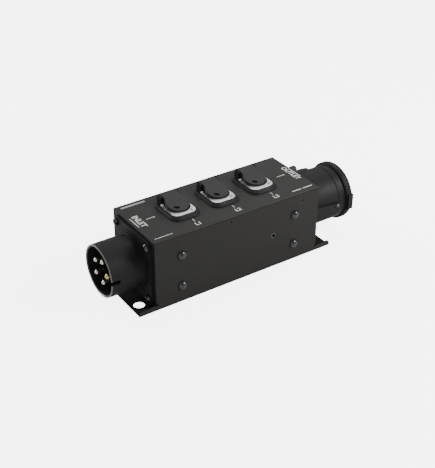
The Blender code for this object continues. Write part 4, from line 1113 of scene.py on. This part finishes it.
def make_print():
    """Generic marks: phase labels with ticks, in and out with arrows, and plain rules."""
    for name in OUTLETS:
        x = centre_of("outlet_frame_" + name).x + 2.2 * MM
        ink("tick " + name, bar((x, -22.6 * MM), (x, -27.6 * MM), 0.7 * MM))
        ink("label " + name, label(name, (x + 0.6 * MM, -33.0 * MM), 7.2 * MM))
    ink("in label", label("INLET", (-92.3 * MM, 2.6 * MM), 9.0 * MM, -90))
    ink("in arrow", arrow((-74.2 * MM, 2.2 * MM), (-84.6 * MM, 2.2 * MM), 0.8 * MM))
    ink("in rule", bar((-97.9 * MM, -7 * MM), (-97.9 * MM, 12 * MM), 0.9 * MM))
    ink("out label", label("OUTLET", (93.6 * MM, -1.0 * MM), 8.0 * MM, -90))
    ink("out arrow", arrow((86.2 * MM, 0.0), (76.0 * MM, 0.0), 0.8 * MM))
    ink("out rule", bar((98.4 * MM, -12 * MM), (98.4 * MM, 9 * MM), 0.9 * MM))
    for name, start, end, y, width in PLAIN_RULES:
        ink(name, bar((start * MM, y * MM), (end * MM, y * MM), width * MM))


# ---------------------------------------------------------------- wires kept from the frame

def dress_wires():
    slots = {"wire_PE": "wire_green", "wire_N": "wire_blue", "wire_L1": "wire_brown", "wire_L2": "wire_black",
             "wire_L3": "wire_grey"}
    for node, slot in slots.items():
        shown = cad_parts[node]
        shown.data.materials.clear()
        shown.data.materials.append(MATERIALS[slot])
        shown.data.materials.append(MATERIALS["brass"])
        base = TOP - 33.0 * MM
        for face in shown.data.polygons:
            face.material_index = int(face.center.z > base)


# ---------------------------------------------------------------- studio

def camera_glow(nodes, links, glow, light):
    """A strength of glow plus light where the camera looks straight at a surface, and of light elsewhere."""
    seen = nodes.new("ShaderNodeLightPath")
    total = nodes.new("ShaderNodeMath")
    total.operation = "MULTIPLY_ADD"
    total.inputs[1].default_value = glow
    total.inputs[2].default_value = light
    links.new(seen.outputs["Is Camera Ray"], total.inputs[0])
    return total.outputs[0]


def make_floor():
    mesh = bpy.data.meshes.new("floor")
    size = FLOOR_HALF
    corners = [(-size, -size, 0), (size, -size, 0), (size, size, 0), (-size, size, 0)]
    mesh.from_pydata(corners, [], [(0, 1, 2, 3)])
    floor = bpy.data.objects.new("floor", mesh)
    bpy.context.scene.collection.objects.link(floor)
    material, nodes, links = new_material("pale floor")
    shader = nodes["Principled BSDF"]
    shader.inputs["Roughness"].default_value = 0.9
    shader.inputs["Base Color"].default_value = (0.9, 0.9, 0.9, 1)
    shader.inputs["Emission Color"].default_value = (1, 1, 1, 1)
    links.new(camera_glow(nodes, links, FLOOR_GLOW, 0.0), shader.inputs["Emission Strength"])
    mesh.materials.append(material)


def add_light(name, place, target, size, power):
    light = bpy.data.lights.new(name, "AREA")
    light.shape = "RECTANGLE"
    light.size, light.size_y = size
    light.energy = power
    lamp = bpy.data.objects.new(name, light)
    lamp.location = place
    lamp.rotation_mode = "QUATERNION"
    lamp.rotation_quaternion = (Vector(target) - Vector(place)).to_track_quat("-Z", "Y")
    bpy.context.scene.collection.objects.link(lamp)


def make_studio():
    make_floor()
    world = bpy.data.worlds.new("studio")
    bpy.context.scene.world = world
    world.use_nodes = True
    world.node_tree.nodes["Background"].inputs["Color"].default_value = (1, 1, 1, 1)
    nodes, links = world.node_tree.nodes, world.node_tree.links
    glow = camera_glow(nodes, links, FLOOR_GLOW, WORLD_LIGHT)
    links.new(glow, nodes["Background"].inputs["Strength"])
    add_light("key", (0.85, -0.8, 0.8), (0.08, 0, 0.05), (0.5, 0.5), 17)
    add_light("left", (-0.9, -0.5, 0.5), (-0.1, 0, 0.04), (0.5, 0.5), 1.5)
    add_light("top", (0.5, 0.3, 1.2), LIGHT_TARGET, (0.6, 0.6), 4.5)
    add_light("back", (0.56, 0.84, 0.68), LIGHT_TARGET, (0.8, 0.6), 1.5)
    add_light("rear fill", (-0.5, 1.1, 0.45), LIGHT_TARGET, (0.7, 0.5), 7)


def make_camera():
    """Three-quarter view from the inlet end, a little above."""
    azimuth, elevation = math.radians(CAMERA_AZIMUTH), math.radians(CAMERA_ELEVATION)
    back = Vector((math.sin(azimuth) * math.cos(elevation), -math.cos(azimuth) * math.cos(elevation),
                   math.sin(elevation)))
    camera = bpy.data.cameras.new("camera")
    camera.lens = CAMERA_LENS
    camera.sensor_width = 36
    camera.clip_start = 0.01
    holder = bpy.data.objects.new("camera", camera)
    holder.location = Vector(CAMERA_TARGET) + back * CAMERA_DISTANCE
    holder.rotation_mode = "QUATERNION"
    holder.rotation_quaternion = (-back).to_track_quat("-Z", "Y")
    bpy.context.scene.collection.objects.link(holder)
    bpy.context.scene.camera = holder


make_tray()
make_cover()
make_case_screws()
make_inlet()
make_socket()
make_latch_screw()
make_lid()
make_outlets()
make_print()
dress_wires()
make_studio()
make_camera()
